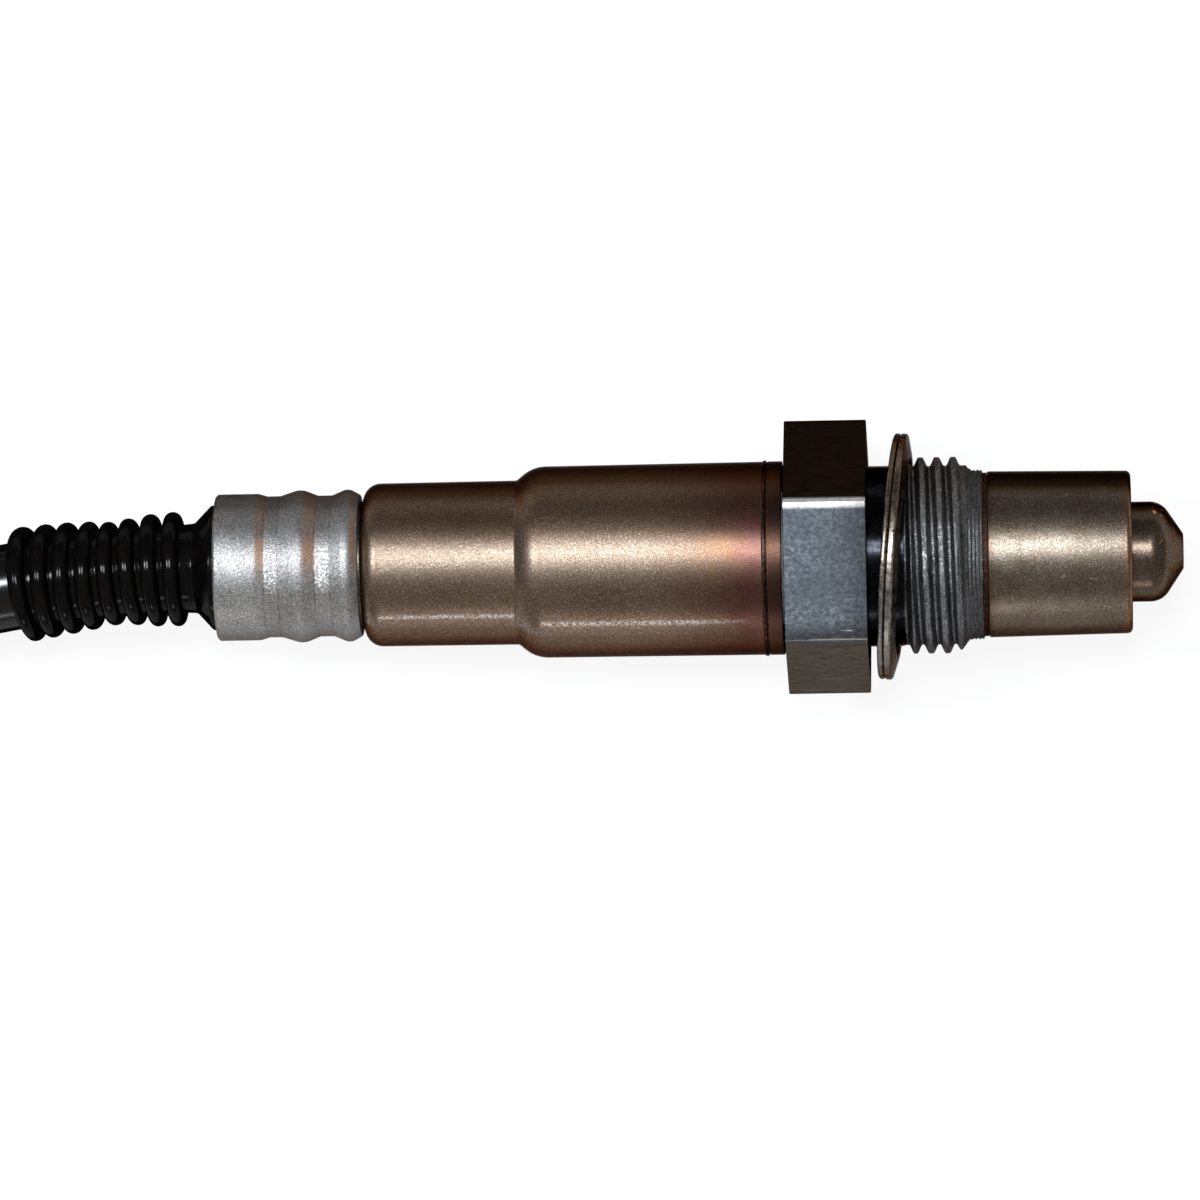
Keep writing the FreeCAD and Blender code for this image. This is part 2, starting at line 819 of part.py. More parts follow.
def make_grommet():
    """The wire seal: flange behind the sleeve's end wall, body in its tail, tail in the boot."""
    front = narrow_rear + s["sleeve_wall"]
    flange = narrow_bore - s["grommet_flange_gap"]
    tail = root_bore - s["fit_gap"]
    body = turned(
        "grommet",
        [
            (grommet_front, 0),
            (grommet_front, flange),
            (front, flange),
            (front, tail_bore - s["fit_gap"]),
            (sleeve_rear, tail_bore - s["fit_gap"]),
            (sleeve_rear, tail),
            (grommet_rear, tail),
            (grommet_rear, 0),
        ],
    )
    holes = [
        rod(
            f"grommet_hole_{name}",
            wire_radius + s["wire_clearance"],
            grommet_rear - overrun,
            s["grommet_length"] + overrun * 2,
            y,
            z,
        )
        for name, y, z, _, _ in wire_places()
    ]
    return node(cut("grommet_body", body, holes), "wire_grommet")


def make_ferrule():
    """The ferrule: straight at the lead end, two crimped valleys, and crests beside them."""
    wall, slope = s["ferrule_wall"], s["crimp_slope"]
    half_floor = s["crimp_floor"] / 2
    rear_place, front_place = -s["rear_crimp_place"], -s["front_crimp_place"]
    mouth = -s["ferrule_front"]
    half_crest = s["crest_flat"] / 2
    middle_crest = ferrule_radius + s["middle_crest_rise"]
    front_crest = ferrule_radius + s["front_crest_rise"]
    outer = [
        (ferrule_rear, ferrule_radius - s["ferrule_bevel"]),
        (ferrule_rear + s["ferrule_bevel"], ferrule_radius),
        (rear_place - half_floor - slope, ferrule_radius),
        (rear_place - half_floor, rear_crimp_radius),
        (rear_place + half_floor, rear_crimp_radius),
        (-s["middle_crest_place"] - half_crest, middle_crest),
        (half_crest - s["middle_crest_place"], middle_crest),
        (front_place - half_floor, front_crimp_radius),
        (front_place + half_floor, front_crimp_radius),
        (-s["front_crest_place"] - half_crest, front_crest),
        (half_crest - s["front_crest_place"], front_crest),
        (mouth, ferrule_radius - s["ferrule_mouth_depth"]),
    ]
    inner = [(x, radius - wall) for x, radius in reversed(outer[2:])]
    rear_end = [(ferrule_rear, ferrule_radius - wall)]
    return node(turned("ferrule_section", outer + inner + rear_end), "crimp_ferrule")


# the boot, the wires and the lead follow a curved line, so their solids are worked out directly

bend_radius = s["boot_bend_radius"].number
bend_tilt = math.radians(s["boot_bend_tilt"].number)
BEND_SIDE = Vector(0, -math.cos(bend_tilt), -math.sin(bend_tilt))
BEND_START = Vector(ferrule_rear.number, 0, 0)
BEND_AXIS = Vector(-1, 0, 0).cross(BEND_SIDE)
BEND_CENTRE = BEND_START + BEND_SIDE * bend_radius


def along_boot(distance):
    """Gives the place that is a distance along the boot's curved line, and the direction there."""
    turn = distance / bend_radius
    out = Vector(-math.sin(turn), 0, 0) + BEND_SIDE * (1 - math.cos(turn))
    direction = Vector(-math.cos(turn), 0, 0) + BEND_SIDE * math.sin(turn)
    place = BEND_START + Vector(out.x * bend_radius, out.y * bend_radius, out.z * bend_radius)
    return place, direction


def bent_rod(radius, start, length, y=0.0, z=0.0):
    """Turns a disc beside the boot's line round the centre of its bend, over part of the boot."""
    place, direction = along_boot(0)
    disc = Part.Face(Part.Wire(Part.makeCircle(radius, place + Vector(0, y, z), direction)))
    disc.rotate(BEND_CENTRE, BEND_AXIS, math.degrees(start / bend_radius))
    return disc.revolve(BEND_CENTRE, BEND_AXIS, math.degrees(length / bend_radius))


def chord_rod(radius, start, end):
    """Makes a cylinder between two places on the boot's line."""
    first, last = along_boot(start)[0], along_boot(end)[0]
    return Part.makeCylinder(radius, (last - first).Length, first, last - first)


def straight_rod(radius, start, end, y=0.0, z=0.0):
    """Makes a cylinder along X between two places."""
    low = min(start, end)
    return Part.makeCylinder(radius, abs(end - start), Vector(low, y, z), Vector(1, 0, 0))


def turned_profile(points, place, direction):
    """Turns a half section, given as (distance, radius) points, round a line with its own direction."""
    wire = Part.makePolygon([Vector(x, r, 0) for x, r in points + points[:1]])
    solid = Part.Face(wire).revolve(Vector(), Vector(1, 0, 0), 360)
    solid.Placement = Placement(place, Rotation(Vector(1, 0, 0), direction))
    return solid


def make_boot():
    """The rubber boot: root in the ferrule, cone, neck and eight bellows ribs on a curved line."""
    n = {name: size.number for name, size in s.items()}
    bore, length = n["boot_bore"] / 2, n["boot_length"]
    root_front = -n["boot_root_front"]
    valley, neck = n["boot_valley_diameter"] / 2, n["boot_neck_diameter"] / 2
    root = straight_rod(root_radius.number, root_front, ferrule_rear.number)
    cone_place, cone_direction = along_boot(0)
    cone = turned_profile(
        [(0, 0), (0, root_radius.number), (n["boot_cone_length"], neck), (n["boot_cone_length"], 0)],
        cone_place,
        cone_direction,
    )
    crests = [
        (n["rib_first"] + i * n["rib_pitch"], n[f"rib_{i + 1}_diameter"] / 2)
        for i in range(int(n["rib_count"]))
    ]
    pieces = [cone, chord_rod(neck, n["boot_cone_length"] - n["boot_overlap"], crests[0][0])]
    for (start, _), (end, _) in zip(crests, crests[1:]):
        pieces.append(chord_rod(valley, start, end))
    for distance, crest in crests:
        pieces.append(rib(crest, bore - n["boot_overlap"], *along_boot(distance)))
    end_place, end_direction = along_boot(length)
    last = length - crests[-1][0]
    pieces.append(Part.makeCylinder(valley, last, end_place - end_direction * last, end_direction))
    body = root.multiFuse(pieces)
    over = overrun.number
    hollow = straight_rod(root_bore.number, root_front + over, grommet_rear.number)
    hollow = hollow.multiFuse(
        [
            straight_rod(bore, grommet_rear.number + over, ferrule_rear.number),
            bent_rod(bore, 0, length + over),
        ]
    )
    return node(shaped("boot", body.cut(hollow).removeSplitter()), "bellows_boot")


def rib(crest, root, place, direction):
    """One bellows rib on a root inside the bore: flanks that close in over two bevels to a crown."""
    half, crown, flank = (
        s["rib_width"].number / 2,
        s["rib_crown"].number / 2,
        s["rib_flank"].number,
    )
    points = [(-half, root), (-half, crest - flank), (-crown, crest)]
    points += [(crown, crest), (half, crest - flank), (half, root)]
    return turned_profile(points, place, direction)


def make_wires():
    """The five wires, from their terminals through the seal and the boot to the boot's end."""
    for name, y, z, _, _ in wire_places():
        straight = straight_rod(
            wire_radius.number, wire_front.number, ferrule_rear.number, y.number, z.number
        )
        bent = bent_rod(wire_radius.number, 0, s["boot_length"].number, y.number, z.number)
        wire = straight.fuse(bent).removeSplitter()
        node(shaped(f"wire_{name}_run", wire), f"wire_{name}")


def rounded_route(points):
    """Joins the runs of a route with tangent arcs, each as large as its two runs allow."""
    start, edges, radii = points[0], [], []
    for i in range(1, len(points) - 1):
        here = points[i]
        back, ahead = points[i - 1] - here, points[i + 1] - here
        reach = ARC_SHARE * min(back.Length, ahead.Length)
        back.normalize()
        ahead.normalize()
        turn = math.pi - back.getAngle(ahead)
        radius = reach / math.tan(turn / 2)
        first, last = here + back * reach, here + ahead * reach
        inward = (back + ahead).normalize()
        middle = here + inward * (radius / math.cos(turn / 2) - radius)
        edges += [Part.LineSegment(start, first).toShape(), Part.Arc(first, middle, last).toShape()]
        radii.append(radius)
        start = last
    edges.append(Part.LineSegment(start, points[-1]).toShape())
    return Part.Wire(edges), radii


def tube_along(label, points, radius):
    """Sweeps the hose's round section along a route and compares its volume with section times length."""
    path, radii = rounded_route(points)
    circle = Part.Wire(Part.makeCircle(radius, points[0], points[1] - points[0]))
    solid = path.makePipeShell([circle], True, False)
    expected = math.pi * radius**2 * path.Length
    print(
        f"{label}: length {path.Length:.1f} mm, radii",
        [round(r, 1) for r in radii],
        f"volume over section times length {solid.Volume / expected:.4f}",
    )
    return solid


def coil_point(turn, radius, height):
    """Gives the place at an angle and radius about the coil's centre."""
    angle = math.radians(turn)
    return Vector(
        COIL_CENTRE[0] + radius * math.cos(angle), COIL_CENTRE[1] + radius * math.sin(angle), height
    )


hose_radius = s["hose_diameter"].number / 2
hose_height = floor.number + hose_radius + s["hose_lift"].number
coil_top = floor.number + s["hose_diameter"].number + s["coil_top_margin"].number
plug_axis = coil_top + s["plug_height"].number / 2
TAIL_END_TURN = 270.0


def make_coil():
    """The coil as one closed ring with the outer shape of its turns, waisted under its tie."""
    spread = hose_radius + s["coil_margin"].number
    inner = s["coil_inner_turn"].number - spread
    outer = s["coil_outer_turn"].number + spread
    top = coil_top - floor.number
    centre = Vector(COIL_CENTRE[0], COIL_CENTRE[1], floor.number)
    ring = Part.makeCylinder(outer, top, centre).cut(Part.makeCylinder(inner, top, centre))
    tie, groove = coil_tie(inner, outer, top)
    return ring.cut(groove), tie


def coil_tie(inner, outer, top):
    """The tie: a flat band round the section of the coil, with its locking head on top."""
    width, thick = s["tie_width"].number, s["tie_thickness"].number
    base = Vector(COIL_CENTRE[0] - outer, COIL_CENTRE[1] - width / 2, floor.number)
    band = Part.makeBox(outer - inner, width, top, base)
    core = Part.makeBox(
        outer - inner - thick * 2, width, top - thick * 2, base + Vector(thick, 0, thick)
    )
    band = band.cut(core)
    groove = Part.makeBox(
        outer - inner + thick * 2, width, top + thick * 2, base - Vector(thick, 0, thick)
    ).cut(core)
    height, length = s["tie_head_height"].number, s["tie_head_length"].number
    head = Part.makeBox(
        length, width, height, base + Vector((outer - inner - length) / 2, 0, top - thick)
    )
    return band.fuse(head).removeSplitter(), groove


def make_lead():
    """The lead: the run from the boot to the coil, the coil, and the tail that climbs to the plug."""
    coil, tie = make_coil()
    exit_place, exit_direction = along_boot(s["boot_length"].number)
    route = [exit_place, exit_place + exit_direction * s["exit_run"].number]
    route += [Vector(*p) for p in HOSE_ROUTE]
    run = tube_along("lead_run", route, hose_radius).cut(coil)
    tail = tube_along("lead_tail", tail_route(), hose_radius).cut(coil)
    node(shaped("run", largest(run)), "lead_run")
    node(shaped("coil", largest(coil)), "lead_coil")
    node(shaped("tail", largest(tail)), "lead_tail")
    node(shaped("tie", tie), "coil_tie")


def largest(shape):
    """Gives the largest solid of a shape."""
    return max(shape.Solids, key=lambda solid: solid.Volume)


def tail_route():
    """Gives the route of the tail, which follows the inner turn round and climbs to the plug's axis."""
    step, steps = s["tail_step"].number, int(s["tail_steps"].number)
    turn_radius = s["tail_turn"].number
    corner = turn_radius / math.cos(math.radians(step / 2))
    points = []
    for i in range(steps + 1):
        share = i / steps
        height = hose_height + (plug_axis - hose_height) * share**2 * (3 - 2 * share)
        turn = TAIL_END_TURN + step * (steps + 0.5 - i)
        points.append(coil_point(turn, corner, height))
    reach = (points[-1] - points[-2]).Length
    points.append(points[-1] + Vector(-reach, 0, 0))
    return points


def plug_placement():
    """Gives the place of the plug: its axis along -X, starting where the tail ends."""
    end = tail_route()[-1]
    return Placement(end, Rotation(Vector(0, 0, 1), 180))


def make_plug():
    """The plug, drawn from the hose end at x = 0 to its mouth, then placed on the coil."""
    place = plug_placement()
    pieces = [
        (make_gland(), "plug_gland"),
        (make_plug_housing(), "plug_housing"),
        (make_plug_seal(), "plug_wire_seal"),
        (make_lock_plate(), "plug_pin_lock"),
        (make_resistor(), "trim_resistor"),
    ]
    pieces += [(pin, f"plug_pin_{i + 1}") for i, pin in enumerate(make_pins())]
    for piece, label in pieces:
        piece.Placement = place
        node(piece, label)


plug_mouth = s["gland_length"] + s["plug_length"]
shroud_floor = plug_mouth - s["shroud_depth"]
pin_front = plug_mouth - s["pin_recess"]
pin_rear = s["gland_length"] + s["pin_root"]


def make_gland():
    """The rear gland of the plug, which tapers towards the hose."""
    mouth, flange = s["gland_mouth_diameter"] / 2, s["gland_flange_diameter"] / 2
    flange_rear = s["gland_length"] - s["gland_flange_length"]
    bore = s["gland_bore"] / 2
    return turned(
        "gland",
        [
            (0, bore),
            (0, mouth - s["gland_bevel"]),
            (s["gland_bevel"], mouth),
            (flange_rear, mouth + s["gland_taper"]),
            (flange_rear, flange),
            (s["gland_length"], flange),
            (s["gland_length"], bore),
        ],
    )


def pin_places():
    """Gives the place of each pin across the plug."""
    return [
        (s["pin_pitch"] * column, s["pin_rows"] / 2 * row) for row in (1, -1) for column in (-1, 0, 1)
    ]


def make_plug_housing():
    """The plug's housing: shroud round the pins, solid middle, seal pocket, latch ramp and keys."""
    wall, width, height = s["shroud_wall"], s["plug_width"], s["plug_height"]
    start = s["gland_length"]
    shell = extruded(
        "plug_shell", rectangle(width, height, s["plug_corner"]), start, s["plug_length"]
    )
    latch = extruded(
        "latch",
        [
            (start + s["latch_place"], height / 2 - wall / 2),
            (start + s["latch_place"] + s["latch_length"], height / 2 - wall / 2),
            (start + s["latch_place"], height / 2 + s["latch_height"]),
        ],
        -s["latch_width"] / 2,
        s["latch_width"],
        "XZ_Plane",
    )
    keys = [
        block(
            f"key_{name}",
            (s["key_length"], s["key_height"] + wall / 2, s["key_width"]),
            (
                plug_mouth - s["key_length"] - wall,
                (width / 2 - wall / 2) if name == "left" else (-width / 2 - s["key_height"]),
                -s["key_width"] / 2,
            ),
        )
        for name in ("left", "right")
    ]
    fit = s["plug_fit"]
    cavity = extruded(
        "cavity",
        rectangle(width - wall * 2, height - wall * 2, s["shroud_corner"]),
        shroud_floor,
        s["shroud_depth"] + wall,
    )
    pocket = block(
        "seal_pocket",
        (
            s["plug_seal_length"] + wall,
            s["plug_seal_width"] + fit * 2,
            s["plug_seal_height"] + fit * 2,
        ),
        (start - wall, -s["plug_seal_width"] / 2 - fit, -s["plug_seal_height"] / 2 - fit),
    )
    nest = block(
        "resistor_nest",
        (s["resistor_length"] + fit * 2, s["resistor_width"] + fit * 2, s["resistor_height"] + fit * 2),
        (
            shroud_floor - s["resistor_length"] - fit * 2,
            -s["resistor_width"] / 2 - fit,
            -s["resistor_height"] / 2 - fit,
        ),
    )
    holes = [
        rod(
            f"pin_hole_{i + 1}",
            s["pin_diameter"] / 2 + s["fit_gap"],
            start + s["plug_seal_length"] / 2,
            s["plug_length"] - s["shroud_depth"],
            y,
            z,
        )
        for i, (y, z) in enumerate(pin_places())
    ]
    outside = fused("plug_outside", [shell, latch] + keys)
    return cut("plug_housing_body", outside, [cavity, pocket, nest] + holes)


def make_plug_seal():
    """The seal at the back of the plug, with a hole for each wire that goes to a pin."""
    start, length = s["gland_length"], s["plug_seal_length"]
    seal = extruded(
        "plug_seal_pad", rectangle(s["plug_seal_width"], s["plug_seal_height"]), start, length
    )
    holes = [
        rod(f"seal_hole_{i + 1}", wire_radius, start - overrun, length + overrun * 2, y, z)
        for i, (y, z) in enumerate(pin_places())
    ]
    return cut("plug_seal_body", seal, holes)


def make_lock_plate():
    """The plate at the bottom of the shroud that locks the pins."""
    fit, wall = s["plug_fit"], s["shroud_wall"]
    plate = extruded(
        "lock_plate",
        rectangle(
            s["plug_width"] - wall * 2 - fit * 2,
            s["plug_height"] - wall * 2 - fit * 2,
            s["shroud_corner"],
        ),
        shroud_floor,
        s["lock_plate_thickness"],
    )
    holes = [
        rod(
            f"lock_hole_{i + 1}",
            s["lock_hole_diameter"] / 2,
            shroud_floor - overrun,
            s["lock_plate_thickness"] + overrun * 2,
            y,
            z,
        )
        for i, (y, z) in enumerate(pin_places())
    ]
    return cut("lock_plate_body", plate, holes)


def make_resistor():
    """The trimming resistor, set in the solid middle of the plug."""
    outline_corners = rectangle(s["resistor_width"], s["resistor_height"])
    start = shroud_floor - s["resistor_length"] - s["plug_fit"]
    return extruded("resistor_chip", outline_corners, start, s["resistor_length"])


def make_pins():
    """The pins of the plug, each with a bevelled tip."""
    pins = []
    radius = s["pin_diameter"] / 2
    for i, (y, z) in enumerate(pin_places()):
        shank = rod(
            f"pin_shank_{i + 1}", radius, pin_rear, pin_front - s["pin_tip_round"] - pin_rear, y, z
        )
        tip_cone = doc.addObject("Part::Cone", f"pin_tip_{i + 1}")
        bind(tip_cone, "Radius1", radius)
        bind(tip_cone, "Radius2", radius - s["pin_tip_round"])
        bind(tip_cone, "Height", s["pin_tip_round"])
        tip_cone.Placement = Placement(Vector(), Rotation(Vector(0, 1, 0), 90))
        for letter, value in (("x", pin_front - s["pin_tip_round"]), ("y", y), ("z", z)):
            bind(tip_cone, f"Placement.Base.{letter}", value)
        pins.append(fused(f"pin_{i + 1}_body", [shank, tip_cone]))
    return pins


def check_and_write():
    """Stops on a failed feature or a bad solid, then writes one file for each piece."""
    doc.recompute()
    failed = [o.Name for o in doc.Objects if "Invalid" in o.State or "Error" in o.State]
    if failed:
        raise SystemExit(f"these features failed: {failed}")
    os.makedirs("parts", exist_ok=True)
    for piece in NODES:
        shape = piece.Shape
        if shape.isNull() or not shape.isValid() or len(shape.Solids) != 1:
            raise SystemExit(f"{piece.Label} is not one valid solid")
        shape.exportStep(f"parts/{piece.Label}.step")
    print(len(NODES), "pieces written")


make_housing()
make_sealing_ring()
make_outer_tube()
make_inner_tube()
make_element_stack()
make_contact_holder()
make_terminals()
make_sleeve()
make_grommet()
make_ferrule()
make_boot()
make_wires()
make_lead()
make_plug()
check_and_write()
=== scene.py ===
import math

import bmesh
import bpy
from mathutils import Matrix, Vector, noise


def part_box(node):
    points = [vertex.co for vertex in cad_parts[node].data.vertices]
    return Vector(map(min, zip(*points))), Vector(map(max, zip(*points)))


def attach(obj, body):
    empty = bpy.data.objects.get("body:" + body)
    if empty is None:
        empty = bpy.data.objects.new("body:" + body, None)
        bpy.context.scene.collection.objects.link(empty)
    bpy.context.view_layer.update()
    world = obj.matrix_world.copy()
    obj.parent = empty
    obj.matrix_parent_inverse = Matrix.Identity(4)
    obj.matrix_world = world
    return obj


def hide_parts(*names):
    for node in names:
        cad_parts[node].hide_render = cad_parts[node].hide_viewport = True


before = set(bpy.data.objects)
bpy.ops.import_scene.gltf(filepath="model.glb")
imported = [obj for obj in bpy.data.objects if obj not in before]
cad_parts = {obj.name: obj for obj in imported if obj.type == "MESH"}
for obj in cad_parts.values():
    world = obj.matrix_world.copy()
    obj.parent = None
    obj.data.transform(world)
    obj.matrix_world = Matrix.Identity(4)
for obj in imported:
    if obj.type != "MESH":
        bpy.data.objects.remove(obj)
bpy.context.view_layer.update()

# An exhaust oxygen sensor lying on a pale floor, seen from above with its tip to the right.
# The part's own frame is kept: +X to the tip, +Z up, origin at the front face of the hexagon.
# Shapes are written in millimetres and turned into metres when a mesh is made.
# Materials read places on the part in metres.

MM = 0.001


def node_span(name):
    """Gives a node's lowest and highest corner in millimetres."""
    low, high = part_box(name)
    return Vector(low) / MM, Vector(high) / MM


FLOOR_LEVEL = node_span("hex_housing")[0].z
ROOT = "root"

# camera, as the photograph shows the part

PICTURE_WIDTH = 110.5
CAMERA_DISTANCE = 900.0
PICTURE_CENTRE = Vector((-24.8, -3.6, 0.0))
TILT_TO_SIDE = math.radians(6.5)
TILT_TO_TIP = math.radians(2.65)
ROLL = math.radians(1.0)
SENSOR_WIDTH = 36.0
NEAREST_SEEN = 0.01


def make_camera():
    """Makes the camera above the part, tilted so that one long side and the tip come nearer."""
    back = Vector((math.tan(TILT_TO_TIP), math.tan(TILT_TO_SIDE), 1.0)).normalized()
    right = Vector((math.cos(ROLL), -math.sin(ROLL), 0.0))
    right = (right - back * right.dot(back)).normalized()
    up = back.cross(right)
    place = Matrix.Translation((PICTURE_CENTRE + back * CAMERA_DISTANCE) * MM)
    camera = bpy.data.objects.new("camera", bpy.data.cameras.new("camera"))
    camera.data.sensor_width = SENSOR_WIDTH
    camera.data.lens = SENSOR_WIDTH * CAMERA_DISTANCE / PICTURE_WIDTH
    camera.data.clip_start = NEAREST_SEEN
    camera.matrix_world = place @ Matrix((right, up, back)).transposed().to_4x4()
    bpy.context.scene.collection.objects.link(camera)
    bpy.context.scene.camera = camera


make_camera()


# shapes

ARC_STEPS = 7
CREASE = 35.0


def rounded(corners):
    """Turns (x, y) and (x, y, round) corners into a closed outline whose rounds are short arcs."""
    points = []
    for i, corner in enumerate(corners):
        here = Vector(corner[:2])
        if len(corner) < 3:
            points.append(here)
            continue
        before = Vector(corners[i - 1][:2])
        after = Vector(corners[(i + 1) % len(corners)][:2])
        back, ahead = (before - here).normalized(), (after - here).normalized()
        half = back.angle(ahead) / 2
        reach = corner[2] / math.tan(half)
        centre = here + (back + ahead).normalized() * (corner[2] / math.sin(half))
        first, last = here + back * reach - centre, here + ahead * reach - centre
        turn = first.angle_signed(last)
        for step in range(ARC_STEPS + 1):
            arm = first.copy()
            arm.rotate(Matrix.Rotation(-turn * step / ARC_STEPS, 2))
            points.append(centre + arm)
    return points


def around(segments):
    """Gives the cosine and sine of each of a ring's even steps."""
    turns = [2 * math.pi * i / segments for i in range(segments)]
    return [(math.cos(turn), math.sin(turn)) for turn in turns]


def skin(rings, loop=False):
    """Gives the quads between rings of as many points each. A loop joins the last to the first."""
    count, segments = len(rings), len(rings[0])
    faces = []
    for i in range(count if loop else count - 1):
        a, b = i * segments, (i + 1) % count * segments
        for j in range(segments):
            k = (j + 1) % segments
            faces.append((a + j, b + j, b + k, a + k))
    return faces


def link(name, data, replaced, material):
    """Adds a mesh or curve to the scene as a piece that rides on the part."""
    piece = bpy.data.objects.new(name, data)
    bpy.context.scene.collection.objects.link(piece)
    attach(piece, ROOT)
    if replaced:
        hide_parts(*replaced)
    data.materials.append(material)
    return piece


def finish_mesh(name, rings, faces, replaced, material, crease=CREASE):
    """Makes a piece from rings of points in millimetres, smooth but for its sharp edges."""
    mesh = bpy.data.meshes.new(name)
    mesh.from_pydata([Vector(p) * MM for ring in rings for p in ring], [], faces)
    work = bmesh.new()
    work.from_mesh(mesh)
    bmesh.ops.recalc_face_normals(work, faces=work.faces)
    work.to_mesh(mesh)
    work.free()
    mesh.shade_smooth()
    mesh.set_sharp_from_angle(angle=math.radians(crease))
    link(name, mesh, replaced, material)


def closed(name, rings, replaced, material, crease=CREASE):
    """Makes a piece whose last ring joins its first."""
    finish_mesh(name, rings, skin(rings, loop=True), replaced, material, crease)


def turned_rings(outline, segments, shape=None):
    """Turns an outline of (x, radius) round the X axis.

    shape takes a point's x, radius, cosine and sine, and gives its new x and radius.
    """
    rings = []
    for x, radius in outline:
        ring = []
        for cosine, sine in around(segments):
            px, pr = shape(x, radius, cosine, sine) if shape else (x, radius)
            ring.append((px, pr * cosine, pr * sine))
        rings.append(ring)
    return rings


def turned(name, corners, segments, replaced, material):
    """Makes a closed piece by turning rounded corners of (x, radius) round the X axis."""
    closed(name, turned_rings(rounded(corners), segments), replaced, material)


def ease(share):
    """Rises smoothly from 0 to 1 with a share that is kept within 0 and 1."""
    share = min(1.0, max(0.0, share))
    return share * share * (3 - 2 * share)


# materials

# painted shade falls on a place as flank where it faces up by less than the first number, fully so
# at the second
FLANK = (0.93, 0.48)
SIDE_EDGE = 0.004
GRIT = (0.03, 0.022, 0.018)


class Shader:
    """A small node graph round one Principled shader."""

    def __init__(self, name):
        self.material = bpy.data.materials.new(name)
        self.material.use_nodes = True
        self.tree = self.material.node_tree
        self.principled = self.tree.nodes["Principled BSDF"]
        self.where = self.tree.nodes.new("ShaderNodeTexCoord").outputs["Object"]
        self.x, self.y, self.z = self.split(self.where)

    def feed(self, socket, value):
        """Links a socket to a node's output, or sets its value."""
        if isinstance(value, bpy.types.NodeSocket):
            self.tree.links.new(value, socket)
        else:
            socket.default_value = value

    def set(self, **values):
        """Feeds inputs of the Principled shader, whose names are written with underscores."""
        for name, value in values.items():
            self.feed(self.principled.inputs[name.replace("_", " ")], value)

    def node(self, kind, inputs=(), **settings):
        """Adds a node with its settings and its fed inputs."""
        made = self.tree.nodes.new("ShaderNode" + kind)
        for name, value in settings.items():
            setattr(made, name, value)
        for name, value in dict(inputs).items():
            self.feed(made.inputs[name], value)
        return made

    def split(self, vector):
        """The three parts of a vector."""
        return self.node("SeparateXYZ", {"Vector": vector}).outputs

    def stretch(self, x, y, z):
        """The place on the part, scaled along the axes."""
        return self.node("Mapping", {"Vector": self.where, "Scale": (x, y, z)}).outputs["Vector"]

    def noise(self, per_metre, detail=4.0, rough=0.55, where=None, distortion=0.0):
        """Noise from 0 to 1 over the part."""
        inputs = {
            "Vector": where or self.where,
            "Scale": per_metre,
            "Detail": detail,
            "Roughness": rough,
            "Distortion": distortion,
        }
        return self.node("TexNoise", inputs).outputs["Fac"]

    def ramp(self, value, *stops):
        """A ramp over value through (position, colour or grey level) stops."""
        made = self.node("ValToRGB", {"Fac": value})
        elements = made.color_ramp.elements
        while len(elements) < len(stops):
            elements.new(0.5)
        for element, (position, colour) in zip(elements, stops):
            element.position = position
            element.color = (colour,) * 3 + (1.0,) if isinstance(colour, float) else (*colour, 1.0)
        return made.outputs["Color"]

    def mix(self, factor, a, b):
        """Goes from colour a to colour b by a factor."""
        made = self.node("Mix", data_type="RGBA")
        self.feed(made.inputs[0], factor)
        for index, colour in ((6, a), (7, b)):
            self.feed(made.inputs[index], (*colour, 1.0) if isinstance(colour, tuple) else colour)
        return made.outputs[2]

    def math(self, operation, *values):
        """One sum with values that are numbers or outputs."""
        made = self.node("Math", operation=operation)
        for socket, value in zip(made.inputs, values):
            self.feed(socket, value)
        return made.outputs[0]

    def times(self, product, *factors):
        """The product of all its values."""
        for factor in factors:
            product = self.math("MULTIPLY", product, factor)
        return product

    def step(self, value, low, high):
        """Rises from 0 at low to 1 at high."""
        inputs = {"Value": value, "From Min": low, "From Max": high}
        return self.node("MapRange", inputs).outputs["Result"]

    def band(self, value, low, high, soft):
        """1 between low and high, falling off over a short way."""
        rise = self.step(value, low - soft, low + soft)
        fall = self.step(value, high + soft, high - soft)
        return self.times(rise, fall)

    def bands(self, value, bands):
        """1 within each of some (low, high, soft) bands that lie apart."""
        total = 0.0
        for band in bands:
            total = self.math("ADD", total, self.band(value, *band))
        return total

    def facing(self, turn=0.0):
        """How far a place on the turned body faces a direction, from -1 to 1.

        The direction is up, turned towards +Y by some degrees.
        """
        square = self.math("MULTIPLY_ADD", self.y, self.y, self.times(self.z, self.z))
        turn = math.radians(turn)
        upward = self.times(self.z, math.cos(turn))
        along = self.math("MULTIPLY_ADD", self.y, math.sin(turn), upward)
        return self.math("DIVIDE", along, self.math("SQRT", square))

    def paint_flank_shade(self, base, left, left_share, right, right_share):
        """Paints shade over the turned body's flanks with darker colours, left being +Y."""
        flank = self.step(self.facing(), *FLANK)
        share = self.times(flank, self.step(self.y, 0.0, SIDE_EDGE), left_share)
        base = self.mix(share, base, left)
        share = self.times(flank, self.step(self.y, 0.0, -SIDE_EDGE), right_share)
        return self.mix(share, base, right)

    def grainy(self, base, per_metre, sparkle, share=0.6):
        """Breaks a base colour up into fine darker grains and some sparkling ones."""
        grain = self.noise(per_metre, 2.0, 0.75)
        base = self.mix(self.ramp(grain, (0.34, 0.55), (0.5, 0.0)), base, GRIT)
        return self.mix(self.ramp(grain, (0.58, 0.0), (0.68, share)), base, sparkle)

    def bump(self, height, distance, strength):
        """The normal of a surface raised by a height of 0 to 1 times a distance in metres."""
        inputs = {"Height": height, "Distance": distance, "Strength": strength}
        return self.node("Bump", inputs).outputs["Normal"]


